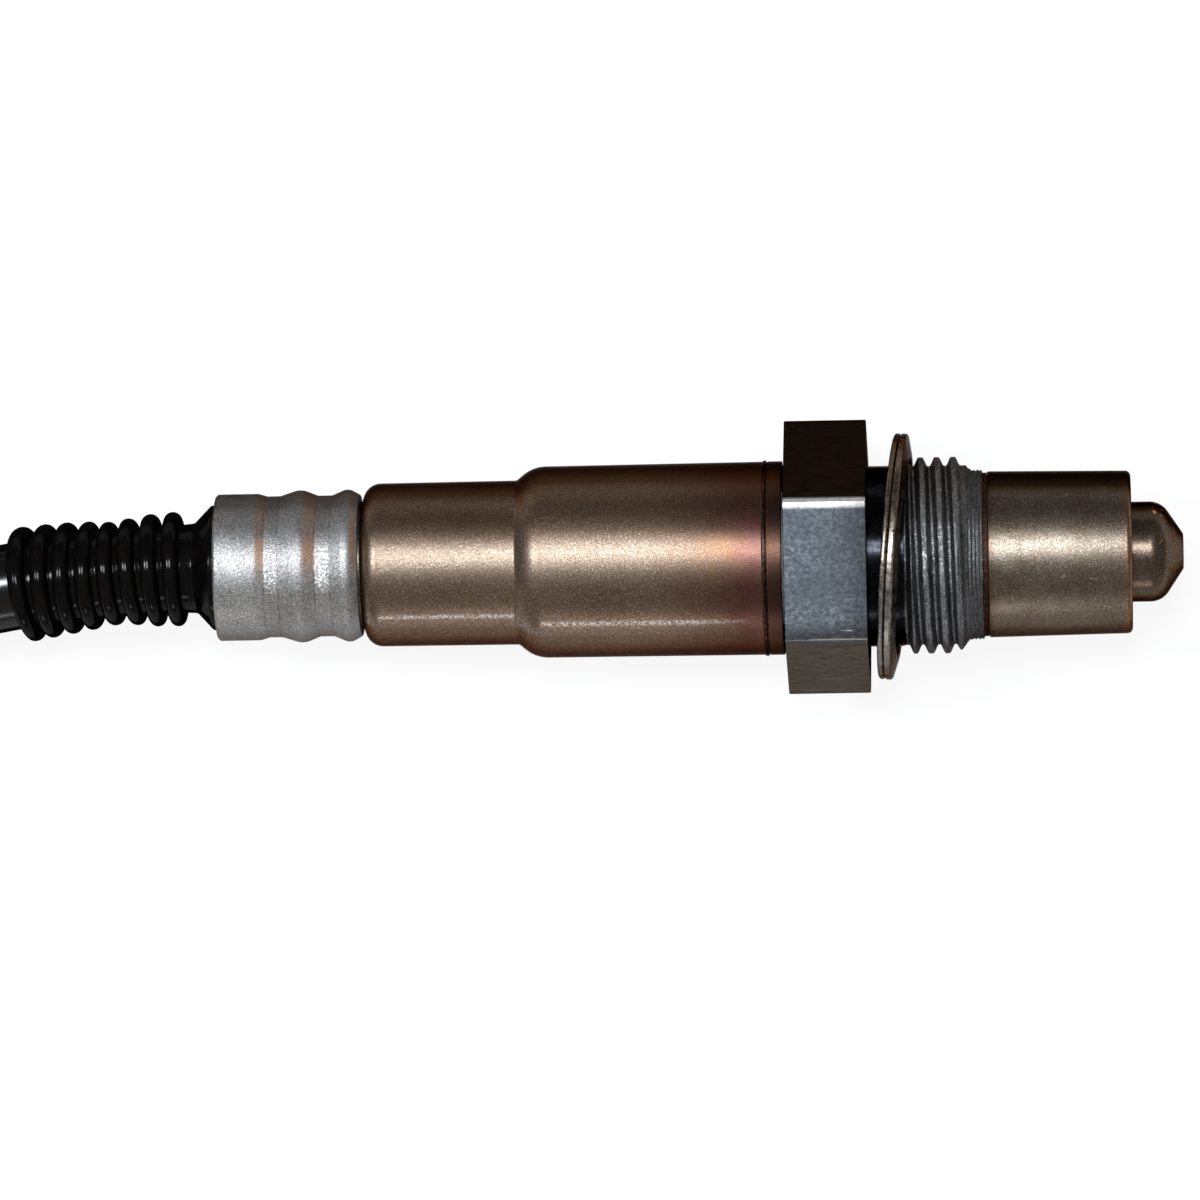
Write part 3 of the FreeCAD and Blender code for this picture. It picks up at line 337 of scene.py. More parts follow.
# the tint of the metals where they are seen at a grazing angle
EDGE = (0.22, 0.17, 0.14, 1.0)

# the sleeve's zones along X, going back from the hexagon: (low, high, soft) or (from, to)
COLLAR = (-0.0091, -0.0070, 0.0001)
WELD_LINE = (-0.00952, -0.00918, 0.00008)
PLUM_TINT = (-0.0118, -0.0098, 0.0006)
STRAW_TINT = (-0.0150, -0.0120, 0.0015)
HEAT = (-0.0205, -0.0115)
SCRATCHED = (-0.018, -0.022)
GLEAMING = (-0.0105, -0.0160)


def sleeve_metal():
    """Bronze-brown tempered steel with a fine satin grain, redder towards the weld, with a painted
    highlight along its top and painted shade on its flanks.
    """
    s = Shader("sleeve_metal")
    grain = s.noise(7000.0, 3.0, 0.7)
    cloud = s.noise(170.0, 5.0, 0.6)
    streak = s.noise(500.0, 4.0, 0.6, s.stretch(0.12, 1.0, 1.0))
    base = s.ramp(cloud, (0.3, (0.150, 0.098, 0.066)), (0.7, (0.190, 0.130, 0.092)))
    base = s.mix(s.ramp(streak, (0.45, 0.0), (0.75, 0.3)), base, (0.21, 0.155, 0.12))
    # painted highlight: a paler colour where the key light's highlight falls
    painted_highlight = s.step(s.facing(7.0), 0.955, 0.99)
    base = s.mix(s.times(painted_highlight, 0.6), base, (0.182, 0.142, 0.108))
    base = s.grainy(base, 6500.0, (0.44, 0.40, 0.35))

    ragged = s.ramp(s.noise(600.0, 4.0), (0.3, 0.75), (0.7, 1.0))
    # the heat tint is painted lighter within the painted highlight
    scorched = s.mix(painted_highlight, (0.074, 0.031, 0.021), (0.104, 0.052, 0.035))
    base = s.mix(s.times(s.step(s.x, *HEAT), ragged, 0.95), base, scorched)
    # the straw heat tint shows only within the painted highlight
    straw = s.times(painted_highlight, s.step(cloud, 0.35, 0.6))
    base = s.mix(s.times(s.band(s.x, *STRAW_TINT), straw, 0.5), base, (0.23, 0.12, 0.050))
    plum = s.ramp(cloud, (0.4, 0.2), (0.6, 0.8))
    base = s.mix(s.times(s.band(s.x, *PLUM_TINT), plum, 0.45), base, (0.120, 0.034, 0.046))
    base = s.mix(s.times(s.band(s.x, *COLLAR), 0.85), base, (0.044, 0.022, 0.015))
    # painted shade on the flanks, darker on the +Y side
    base = s.paint_flank_shade(base, (0.033, 0.017, 0.010), 0.85, (0.085, 0.055, 0.042), 0.6)

    pits = s.ramp(s.noise(2600.0, 2.0), (0.42, 1.0), (0.62, 0.35))
    base = s.mix(s.times(s.band(s.x, *WELD_LINE), pits), base, (0.010, 0.007, 0.007))
    scratch = s.noise(1700.0, 2.0, 0.5, s.stretch(0.35, 1.0, 1.0), 1.5)
    scratch = s.times(s.ramp(scratch, (0.76, 0.0), (0.78, 0.7)), s.step(s.x, *SCRATCHED))
    base = s.mix(scratch, base, (0.45, 0.40, 0.35))
    s.set(Base_Color=base, Metallic=1.0, Specular_Tint=EDGE)
    s.set(Roughness=s.ramp(grain, (0.3, 0.30), (0.7, 0.45)))
    s.set(Normal=s.bump(grain, 0.00002, 0.5))

    # a broken line of light low on the flank, as in the photograph
    # painted highlight: the clear coat lies only on the thin strip where the low lamp reflects
    low = s.step(s.facing(-37.5), 0.992, 0.998)
    gleam = s.ramp(s.noise(4200.0, 2.0, 0.7), (0.42, 0.05), (0.6, 1.0))
    gleam = s.times(low, gleam, s.step(s.x, *GLEAMING))
    s.set(Coat_Weight=gleam, Coat_Roughness=0.12, Coat_IOR=1.62)
    return s.material


# the ferrule's zones along X, as (low, high, soft)
CRIMPS = [(-0.0553, -0.0541, 0.0002), (-0.0506, -0.0493, 0.0002)]
BROWN_EDGES = [(-0.0560, -0.0553, 0.0003), (-0.0516, -0.0506, 0.0004)]
BROWN_FRONT = (-0.0474, -0.0469, 0.0001)
CREASES = [(-0.0554, -0.0553, 0.00008), (-0.0541, -0.0540, 0.00008),
           (-0.0507, -0.0506, 0.00008), (-0.0493, -0.0492, 0.00008)]


def ferrule_metal():
    """Grey shot-blasted steel with glints painted in its crimped valleys where the highlight falls,
    brown beside them.
    """
    s = Shader("ferrule_metal")
    grain = s.noise(4200.0, 3.0, 0.75)
    cloud = s.noise(420.0, 4.0, 0.6)
    base = s.ramp(cloud, (0.3, (0.25, 0.245, 0.24)), (0.7, (0.36, 0.36, 0.36)))
    base = s.grainy(base, 5200.0, (0.62, 0.61, 0.60), 0.8)
    valley = s.bands(s.x, CRIMPS)
    # painted glints: bright grains in the valleys only where the key light's highlight falls
    highlight_zone = s.step(s.facing(4.0), 0.93, 0.985)
    base = s.mix(s.times(valley, 0.3), base, (0.16, 0.15, 0.14))
    painted_glint = s.times(valley, highlight_zone, s.ramp(grain, (0.5, 0.0), (0.58, 0.9)))
    base = s.mix(painted_glint, base, (0.92, 0.91, 0.89))
    warm = s.math("MULTIPLY_ADD", s.band(s.x, *BROWN_FRONT), 0.8, s.bands(s.x, BROWN_EDGES))
    stain = s.times(s.step(s.y, -0.001, 0.002), s.ramp(cloud, (0.3, 0.4), (0.6, 1.0)))
    base = s.mix(s.times(warm, stain, 0.8), base, (0.42, 0.21, 0.10))
    ragged = s.ramp(s.noise(1500.0, 3.0), (0.4, 0.8), (0.6, 0.2))
    # painted shade: dark lines at the valley edges stand in for the shade in the creases
    base = s.mix(s.times(s.bands(s.x, CREASES), ragged), base, (0.045, 0.038, 0.034))
    # painted shade on the flanks, darker on the +Y side
    base = s.paint_flank_shade(base, (0.060, 0.050, 0.043), 0.85, (0.20, 0.19, 0.185), 0.6)
    s.set(Base_Color=base, Metallic=1.0, Specular_Tint=EDGE)
    s.set(Roughness=s.ramp(grain, (0.3, 0.44), (0.7, 0.58)))
    rough = s.math("MULTIPLY_ADD", valley, 0.9, 0.5)
    s.set(Normal=s.bump(s.times(grain, rough), 0.00006, 0.7))
    return s.material


# where the hexagon's top and bottom flats begin, and their marks along Y as (low, high, soft), one
# of them a painted highlight on the rim
FLAT_LEVEL = (0.0104, 0.0107)
DARK_STRIPE = (-0.0062, -0.0050, 0.0004)
NICKED = (-0.0055, -0.0030, 0.0005)
RIM_HIGHLIGHT = (0.00575, 0.0066, 0.00015)
CORNER_DASHES = (-0.00640, -0.00628, 0.00005)


def housing_metal():
    """Bluish mottled plating on the hexagon's top and bottom flats, and painted shade making its
    other faces darker.
    """
    s = Shader("housing_metal")
    cloud = s.noise(2800.0, 5.0, 0.8, s.stretch(0.85, 1.0, 1.0))
    drift = s.noise(300.0, 3.0, 0.5)
    fine = s.noise(2600.0, 3.0, 0.6, s.stretch(0.25, 1.0, 1.0))
    dark, middle, light = (0.040, 0.050, 0.064), (0.098, 0.112, 0.128), (0.21, 0.225, 0.235)
    steel = s.ramp(cloud, (0.36, dark), (0.5, middle), (0.66, light))
    steel = s.mix(s.ramp(drift, (0.35, 0.1), (0.65, 0.75)), steel, (0.066, 0.075, 0.088))
    steel = s.mix(s.times(s.band(s.y, *DARK_STRIPE), 0.6), steel, (0.040, 0.040, 0.043))
    nick = s.ramp(s.noise(1500.0, 2.0, 0.5, s.stretch(0.35, 1.3, 1.0)), (0.70, 0.0), (0.73, 1.0))
    steel = s.mix(s.times(nick, s.band(s.y, *NICKED)), steel, (0.80, 0.80, 0.80))
    # painted highlight along the flat's rim
    painted_rim_highlight = s.times(s.band(s.y, *RIM_HIGHLIGHT), s.ramp(cloud, (0.35, 0.5), (0.55, 1.0)))
    steel = s.mix(painted_rim_highlight, steel, (0.48, 0.47, 0.46))

    # painted shade: the faces other than the top and bottom flats are darker, near black towards +Y
    # and olive towards -Y
    olive = s.ramp(fine, (0.3, (0.080, 0.073, 0.066)), (0.7, (0.124, 0.113, 0.102)))
    black = s.ramp(fine, (0.3, (0.010, 0.007, 0.005)), (0.7, (0.018, 0.012, 0.009)))
    side = s.mix(s.step(s.y, -0.002, 0.002), olive, black)
    base = s.mix(s.step(s.math("ABSOLUTE", s.z), *FLAT_LEVEL), side, steel)
    dash = s.ramp(s.noise(900.0, 3.0, 0.6, s.stretch(0.5, 1.0, 1.0)), (0.42, 0.1), (0.56, 0.9))
    base = s.mix(s.times(s.band(s.y, *CORNER_DASHES), dash), base, (0.46, 0.43, 0.39))
    # painted shade: the end faces, which face along X, are made near black
    end = s.math("ABSOLUTE", s.split(s.node("NewGeometry").outputs["True Normal"])[0])
    base = s.mix(s.step(end, 0.5, 0.8), base, (0.020, 0.017, 0.015))
    s.set(Base_Color=base, Metallic=1.0, Specular_Tint=(0.3, 0.27, 0.24, 1.0))
    s.set(Roughness=s.ramp(cloud, (0.3, 0.36), (0.7, 0.48)))
    s.set(Normal=s.bump(s.math("MULTIPLY_ADD", cloud, 0.8, fine), 0.000014, 0.6))
    return s.material


# the changes of finish along X, as (from, to)
NECK_FACE = (0.0036, 0.0033)
PILOT_FACE = (0.0083, 0.0094)
GROOVE_FACE = (0.01050, 0.01062)


def grease():
    """The neck, the thread under dark grease with bright flakes, and the groove in front of it."""
    s = Shader("thread_grease")
    lump = s.noise(2300.0, 5.0, 0.75)
    flake = s.noise(7000.0, 2.0, 0.7)
    line = s.noise(1500.0, 3.0, 0.6, s.stretch(3.0, 0.2, 0.2))
    base = s.ramp(lump, (0.3, (0.074, 0.075, 0.078)), (0.7, (0.250, 0.252, 0.258)))
    base = s.mix(s.ramp(line, (0.50, 0.0), (0.62, 0.7)), base, (0.026, 0.025, 0.026))
    brown = s.ramp(s.noise(700.0, 3.0), (0.35, 0.2), (0.65, 1.0))
    base = s.mix(s.times(s.step(s.y, 0.001, 0.006), brown, 0.7), base, (0.110, 0.092, 0.078))
    base = s.mix(s.ramp(flake, (0.60, 0.0), (0.65, 0.9)), base, (0.70, 0.74, 0.80))
    # painted shade on the flanks, darker on the +Y side
    base = s.paint_flank_shade(base, (0.040, 0.034, 0.030), 0.6, (0.060, 0.062, 0.068), 0.5)
    base = s.mix(s.times(s.step(s.x, *PILOT_FACE), 0.6), base, (0.050, 0.049, 0.050))
    neck = s.step(s.x, *NECK_FACE)
    plating = s.ramp(lump, (0.4, (0.004, 0.004, 0.005)), (0.8, (0.016, 0.017, 0.020)))
    base = s.mix(neck, base, plating)
    rust = s.ramp(lump, (0.3, (0.012, 0.008, 0.006)), (0.7, (0.060, 0.030, 0.020)))
    base = s.mix(s.step(s.x, *GROOVE_FACE), base, rust)
    s.set(Base_Color=base, Metallic=1.0, Specular_Tint=EDGE)
    s.set(Roughness=s.mix(neck, s.ramp(flake, (0.4, 0.50), (0.7, 0.28)), (0.20, 0.20, 0.20)))
    s.set(Normal=s.bump(s.times(lump, s.math("SUBTRACT", 1.0, neck)), 0.00012, 0.8))
    return s.material


# the tube's brown rear and orange front edge along X, as (from, to)
TUBE_REAR = (0.0117, 0.0110)
TUBE_FRONT = (0.0231, 0.0239)


def tube_metal():
    """Silver-brown satin stainless steel of the outer protection tube, specked and scratched."""
    s = Shader("tube_metal")
    grain = s.noise(5200.0, 3.0, 0.7)
    cloud = s.noise(380.0, 5.0, 0.65)
    base = s.ramp(cloud, (0.3, (0.112, 0.083, 0.060)), (0.7, (0.180, 0.150, 0.120)))
    base = s.grainy(base, 6000.0, (0.38, 0.35, 0.31), 0.5)
    speck = s.ramp(s.noise(1900.0, 3.0, 0.6), (0.66, 0.0), (0.72, 0.6))
    base = s.mix(speck, base, (0.07, 0.05, 0.04))
    scratch = s.noise(1900.0, 2.0, 0.5, s.stretch(0.5, 1.0, 1.0), 1.5)
    base = s.mix(s.ramp(scratch, (0.73, 0.0), (0.76, 0.6)), base, (0.48, 0.45, 0.40))
    orange = s.ramp(s.noise(1400.0, 3.0), (0.4, 0.2), (0.6, 1.0))
    base = s.mix(s.times(s.step(s.x, *TUBE_FRONT), orange, 0.6), base, (0.30, 0.13, 0.05))
    base = s.mix(s.times(s.step(s.x, *TUBE_REAR), 0.7), base, (0.075, 0.036, 0.022))
    # painted shade on the flanks, darker on the +Y side
    base = s.paint_flank_shade(base, (0.020, 0.012, 0.007), 0.95, (0.080, 0.062, 0.050), 0.6)
    s.set(Base_Color=base, Metallic=1.0, Specular_Tint=EDGE)
    s.set(Roughness=s.ramp(grain, (0.3, 0.30), (0.7, 0.44)))
    s.set(Normal=s.bump(grain, 0.00002, 0.5))
    return s.material


# where the nub's painted orange glints are: (low, high, soft) along X, (from, to) along Y
NUB_GLINT_BAND = (0.0262, 0.0271, 0.0002)
NUB_SIDE = (0.0004, 0.0016)


def nub_metal():
    """Brown tempered steel of the inner tube's end, with orange glints painted where the highlight
    falls.
    """
    s = Shader("nub_metal")
    cloud = s.noise(500.0, 4.0, 0.6)
    base = s.ramp(cloud, (0.3, (0.085, 0.060, 0.045)), (0.7, (0.130, 0.098, 0.075)))
    base = s.grainy(base, 6000.0, (0.34, 0.30, 0.26), 0.4)
    # painted shade on the flanks, darker on the +Y side
    base = s.paint_flank_shade(base, (0.022, 0.013, 0.009), 0.85, (0.055, 0.042, 0.033), 0.5)
    # painted highlight: orange glints in a band where the key light's highlight falls
    stain = s.ramp(s.noise(1700.0, 2.0), (0.60, 0.0), (0.68, 0.9))
    stain = s.times(stain, s.band(s.x, *NUB_GLINT_BAND), s.step(s.y, *NUB_SIDE))
    base = s.mix(stain, base, (0.62, 0.31, 0.10))
    s.set(Base_Color=base, Metallic=1.0, Specular_Tint=EDGE)
    s.set(Roughness=s.ramp(cloud, (0.3, 0.24), (0.7, 0.36)))
    s.set(Normal=s.bump(s.noise(4000.0, 3.0), 0.00001, 0.4))
    return s.material


# where the ring's painted gold glints, painted shade and grey come in along Y, as (from, to)
GLINT_SIDE = (-0.003, 0.001)
SHADE_SIDE = (0.001, 0.008)
GREY_SIDE = (-0.004, -0.008)


def ring_metal():
    """Folded steel of the sealing ring, with gold glints painted across its middle, painted shade
    towards +Y and grey towards -Y.
    """
    s = Shader("ring_metal")
    cloud = s.noise(1300.0, 4.0, 0.65)
    grain = s.noise(5200.0, 2.0, 0.6)
    dark, middle, light = (0.10, 0.092, 0.084), (0.28, 0.26, 0.24), (0.50, 0.47, 0.43)
    base = s.ramp(cloud, (0.35, dark), (0.6, middle), (0.75, light))
    # painted highlight: gold glints across the ring's middle
    painted_glints = s.times(s.ramp(grain, (0.54, 0.0), (0.64, 1.0)), s.step(s.y, *GLINT_SIDE), 0.7)
    base = s.mix(painted_glints, base, (0.75, 0.50, 0.27))
    # painted shade: darker brown towards +Y
    base = s.mix(s.times(s.step(s.y, *SHADE_SIDE), 0.8), base, (0.050, 0.028, 0.017))
    base = s.mix(s.times(s.step(s.y, *GREY_SIDE), 0.6), base, (0.14, 0.13, 0.12))
    s.set(Base_Color=base, Metallic=1.0, Specular_Tint=EDGE)
    s.set(Roughness=s.ramp(cloud, (0.3, 0.24), (0.7, 0.38)))
    s.set(Normal=s.bump(grain, 0.00002, 0.6))
    return s.material


def black_rubber(name, rough, gloss):
    """Glossy black rubber with its gloss taken off its flanks so they stay dark, a faint sheen
    painted on the flanks, and faint scuffs.
    """
    s = Shader(name)
    smudge = s.noise(900.0, 4.0, 0.6)
    scuff = s.noise(2400.0, 3.0, 0.7, s.stretch(0.3, 1.0, 1.0))
    up = s.split(s.node("NewGeometry").outputs["Normal"])[2]
    base = s.ramp(smudge, (0.3, (0.0010, 0.0010, 0.0011)), (0.8, (0.0034, 0.0026, 0.0022)))
    # painted sheen: a faint lighter colour on the flanks
    flank_sheen = s.times(s.step(up, 0.4, 0.05), s.ramp(smudge, (0.4, 0.1), (0.65, 0.6)))
    base = s.mix(flank_sheen, base, (0.0075, 0.0060, 0.0052))
    # painted shade: the gloss is kept off the flanks so they stay dark
    s.set(Base_Color=base, Specular_IOR_Level=s.times(s.step(up, 0.45, 0.9), gloss))
    s.set(Roughness=s.ramp(scuff, (0.3, rough), (0.7, rough + 0.09)))
    s.set(Normal=s.bump(scuff, 0.00001, 0.3))
    return s.material


def plain(name, colour, rough, metallic=0.0):
    """A plain material with a little variation of tone."""
    s = Shader(name)
    cloud = s.noise(700.0, 3.0, 0.6)
    darker = tuple(c * 0.8 for c in colour)
    s.set(Base_Color=s.ramp(cloud, (0.3, darker), (0.7, colour)), Metallic=metallic)
    s.set(Roughness=s.ramp(cloud, (0.3, rough), (0.7, rough + 0.08)))
    return s.material


HOUSING = housing_metal()
GREASE = grease()
SLEEVE = sleeve_metal()
FERRULE = ferrule_metal()
TUBE = tube_metal()
NUB = nub_metal()
RING = ring_metal()
BOOT = black_rubber("black_rubber", 0.09, 0.085)
HOSE = black_rubber("black_hose", 0.15, 0.3)


# the lead: one hose from the boot through its coil to the plug

HOSE_DIAMETER = 8.1
HOSE_LIFT = 0.05
BOOT_LENGTH = 18.2
BEND_RADIUS = 81.0
BEND_TILT = math.radians(45.0)
FERRULE_REAR = Vector((-60.2, 0.0, 0.0))
REARWARD = Vector((-1.0, 0.0, 0.0))
BEND_SIDE = Vector((0.0, -math.cos(BEND_TILT), -math.sin(BEND_TILT)))
BEND_AXIS = REARWARD.cross(BEND_SIDE)


def along_boot(distance):
    """Gives the place at a distance along the boot's bent line, and the direction there."""
    turn = distance / BEND_RADIUS
    arc = REARWARD * math.sin(turn) + BEND_SIDE * (1 - math.cos(turn))
    return FERRULE_REAR + BEND_RADIUS * arc, REARWARD * math.cos(turn) + BEND_SIDE * math.sin(turn)


# The coil goes round by degrees of travel. Its outer turn shifts into the inner one, which then
# climbs to the plug while it takes the tail's radius.

EXIT_RUN = 9.36
HOSE_TURN = Vector((-101.7, -9.1, -5.6))
COIL_CENTRE = Vector((-137.0, 19.0, 0.0))
COIL_START = 312.9
COIL_STEP = 20.0
OUTER_TURN, INNER_TURN, TAIL_TURN = 44.6, 36.5, 38.6
SHIFT_FROM, SHIFT_TO = 265.0, 360.0
CLIMB_FROM, COIL_TRAVEL = 535.0, 762.9
HOSE_LEVEL = FLOOR_LEVEL + HOSE_DIAMETER / 2 + HOSE_LIFT
GLAND_RUN = Vector((6.0, 0.0, 0.0))
CURVE_STEPS, HOSE_ROUNDNESS = 12, 8


def coil_point(travel, plug_level):
    """Gives the control point of the coil after a travel in degrees from its start."""
    shift = ease((travel - SHIFT_FROM) / (SHIFT_TO - SHIFT_FROM))
    climb = ease((travel - CLIMB_FROM) / (COIL_TRAVEL - CLIMB_FROM))
    radius = OUTER_TURN + (INNER_TURN - OUTER_TURN) * shift + (TAIL_TURN - INNER_TURN) * climb
    radius /= math.cos(math.radians(COIL_STEP / 2))
    turn = math.radians(COIL_START - travel)
    level = HOSE_LEVEL + (plug_level - HOSE_LEVEL) * climb
    return COIL_CENTRE + Vector((radius * math.cos(turn), radius * math.sin(turn), level))


def lead_route():
    """Gives the control points of the whole lead, from the boot's end to the plug's gland."""
    low, high = node_span("plug_gland")
    gland = Vector((high.x, (low.y + high.y) / 2, (low.z + high.z) / 2))
    place, direction = along_boot(BOOT_LENGTH)
    points = [place, place + direction * EXIT_RUN, HOSE_TURN]
    travel = COIL_STEP / 2
    while travel < COIL_TRAVEL:
        points.append(coil_point(travel, gland.z))
        travel += COIL_STEP
    return points + [gland + GLAND_RUN, gland]


def tube_curve(name, points, diameter):
    """Makes a round tube on one smooth open spline through control points in millimetres."""
    curve = bpy.data.curves.new(name, "CURVE")
    curve.dimensions = "3D"
    spline = curve.splines.new("NURBS")
    spline.points.add(len(points) - 1)
    for control, point in zip(spline.points, points):
        control.co = (*(point * MM), 1.0)
        control.radius = diameter / 2 * MM
    spline.order_u = 3
    spline.use_endpoint_u = True
    spline.resolution_u = CURVE_STEPS
    curve.bevel_depth = 1.0
    curve.bevel_resolution = HOSE_ROUNDNESS
    curve.use_fill_caps = True
    return curve


def make_lead():
    """Makes the hose."""
    lead = link("lead_hose", tube_curve("lead_hose", lead_route(), HOSE_DIAMETER),
                ("lead_run", "lead_coil", "lead_tail"), HOSE)
    carried = ["coil_tie", "plug_gland", "plug_housing", "plug_wire_seal", "plug_pin_lock",
               "trim_resistor"]
    carried += [f"plug_pin_{i}" for i in range(1, 7)]


make_lead()


# the boot: places along its line, radii, and each rib's lean in degrees

RIB_FIRST, RIB_PITCH, RIB_WIDTH = 3.69, 1.983, 1.42
RIB_RADII = [5.28, 5.20, 4.95, 4.80, 5.00, 5.15, 5.25, 5.33]
RIB_LEANS = [0.6, 0.9, 1.5, -0.5, -3.3, -2.8, -3.0, -1.2]
LEAN_FADE = 0.4
VALLEY, NECK = 4.05, 4.15
BOOT_FRONT, BOOT_ROOT, BOOT_BORE = -0.6, 5.75, 3.25
CONE_FROM, CONE_TO = 0.25, 1.75
BOOT_SEGMENTS = 96
BOOT_CREASE = 50.0


def boot_outline():
    """Gives the boot's outside and its bore, as (distance, radius) along its line."""
    corners = [(BOOT_FRONT, BOOT_ROOT), (CONE_FROM, BOOT_ROOT, 0.3), (CONE_TO, NECK, 0.5)]
    half = RIB_WIDTH / 2
    for i, crest in enumerate(RIB_RADII):
        middle = RIB_FIRST + i * RIB_PITCH
        corners += [(middle - half, VALLEY, 0.12), (middle - half, crest, half * 0.97)]
        corners += [(middle + half, crest, half * 0.97), (middle + half, VALLEY, 0.12)]
    end = middle + half + 0.1
    corners += [(end, VALLEY), (end, BOOT_BORE), (BOOT_FRONT, BOOT_BORE)]
    return rounded(corners)


def lean_at(distance):
    """The lean of the bellows at a distance along it, in degrees, eased from rib to rib."""
    place = (distance - RIB_FIRST) / RIB_PITCH
    if place <= 0:
        return RIB_LEANS[0] * max(0.0, 1 + place / 2)
    low = min(int(place), len(RIB_LEANS) - 1)
    high = min(low + 1, len(RIB_LEANS) - 1)
    lean = RIB_LEANS[low] + (RIB_LEANS[high] - RIB_LEANS[low]) * ease(place - low)
    return lean * min(1.0, max(0.0, (BOOT_LENGTH - distance) / LEAN_FADE))


def make_boot():
    """Makes the rubber boot: cone, neck and eight round ribs on a bent line."""
    rings = []
    for distance, radius in boot_outline():
        place, direction = along_boot(distance)
        side = direction.cross(BEND_AXIS)
        lean = math.tan(math.radians(lean_at(distance)))
        ring = []
        for cosine, sine in around(BOOT_SEGMENTS):
            arm = BEND_AXIS * (radius * cosine) + side * (radius * sine)
            ring.append(place + arm + direction * (arm.y * lean))
        rings.append(ring)
    closed("bellows", rings, ("bellows_boot",), BOOT, BOOT_CREASE)


make_boot()


# the housing

HEX_LENGTH, HALF_FLAT = 7.55, 11.0
HEX_CREASE = 30.0
# (x, inset) of the hexagon's rings, with a small chamfer at both ends
HEX_STATIONS = [(-HEX_LENGTH, 0.12), (-HEX_LENGTH + 0.04, 0.03), (-HEX_LENGTH + 0.12, 0.0),
                (-0.12, 0.0), (-0.04, 0.03), (0.0, 0.12)]
CROWN_STEPS, CROWN_WIDTH, CROWN_DROP, CROWN_SLOPE = 44, 0.7, 0.06, 10.0
CORNER_ROUND, CORNER_STEPS = 0.1, 4
HOUSING_BORE = 6.3
NECK_START, NECK_RADIUS, NECK_END = -1.0, 8.3, 3.5
THREAD_RADIUS, THREAD_PITCH, THREAD_DEPTH = 9.0, 1.5, 0.82
THREAD_PHASE = 4.92
THREAD_FOOT, THREAD_FLANK = 0.92, 0.7
THREAD_RUN_IN, THREAD_FADE, THREAD_END = 0.6, 7.9, 9.35
PILOT_RADIUS, PILOT_END = 7.72, 10.5
GROOVE_RADIUS, GROOVE_START, GROOVE_END = 7.52, 10.58, 10.98
SPIGOT_RADIUS, SPIGOT_END = 6.65, 13.5
THREAD_STEP = 0.05
THREAD_SEGMENTS = 320
THREAD_CREASE = 60.0
TOOL_LINE_DEPTH, TOOL_LINE_PITCH = 0.05, 0.36


def thread_height(x, turn):
    """The height of the thread above its root, from 0 to 1, at a place along and round it."""
    phase = (x - THREAD_PHASE) / THREAD_PITCH - turn / (2 * math.pi)
    distance = abs(phase - round(phase)) * 2
    return ease((THREAD_FOOT - distance) / THREAD_FLANK)


def ripple(x, cosine, sine, scale, size):
    """Adds up noise of three sizes at a place on the turned surface."""
    place = Vector((x, cosine * THREAD_RADIUS, sine * THREAD_RADIUS)) * scale
    fine = 0.5 * noise.noise(place * 2.3) + 0.25 * noise.noise(place * 5.1)
    return size * (noise.noise(place) + fine)


def greasy_surface(x, radius, cosine, sine):
    """Shapes the stretch from neck to groove into the thread, the pilot and their grease."""
    if x < NECK_END - 0.01 or x > PILOT_END + 0.01:
        return x, radius
    turn = math.atan2(sine, cosine)
    ragged = 0.35 * noise.noise(Vector((3.0, cosine * 2.5, sine * 2.5)))
    start = ease((x - NECK_END) / THREAD_RUN_IN)
    end = ease((THREAD_END + ragged - x) / (THREAD_END - THREAD_FADE))
    rise = ease((THREAD_END + 0.2 + ragged - x) / 1.1)
    root = PILOT_RADIUS + (THREAD_RADIUS - THREAD_DEPTH - PILOT_RADIUS) * rise
    height = root + THREAD_DEPTH * thread_height(x, turn) * min(start, end)
    line = TOOL_LINE_DEPTH * math.cos(2 * math.pi * (x - PILOT_END) / TOOL_LINE_PITCH)
    lines = line * ease((x - THREAD_END + 0.3) / 0.3)
    coat = 0.55 + 0.6 * ease((x - 8.0) / 1.2) * ease((PILOT_END - 0.4 - x) / 0.6)
    lumps = ripple(x, cosine, sine, 1.9, 0.05) + ripple(x, cosine, sine, 8.0, 0.03)
    return x, height + lines + coat * (0.02 + lumps)


def hexagon_ring(x, inset):
    """Gives one ring of the hexagon: flats crowned a little towards their rounded corners."""
    ring = []
    reach = HALF_FLAT / math.sqrt(3) - CORNER_ROUND * math.tan(math.radians(30))
    for i in range(6):
        turn = Matrix.Rotation(math.radians(60 * i), 2)
        for j in range(-CROWN_STEPS, CROWN_STEPS + 1):
            along = reach * j / CROWN_STEPS
            drop = CROWN_DROP * max(0.0, (abs(along) - reach + CROWN_WIDTH) / CROWN_WIDTH) ** 2
            ring.append(turn @ Vector((along, HALF_FLAT - drop - inset)))
        centre = Vector((reach, HALF_FLAT - CROWN_DROP - CORNER_ROUND - inset))
        for j in range(1, CORNER_STEPS):
            lean = math.radians(CROWN_SLOPE + (60.0 - 2 * CROWN_SLOPE) * j / CORNER_STEPS)
            ring.append(turn @ (centre + CORNER_ROUND * Vector((math.sin(lean), math.cos(lean)))))
    return [(x, -p.x, p.y) for p in ring]


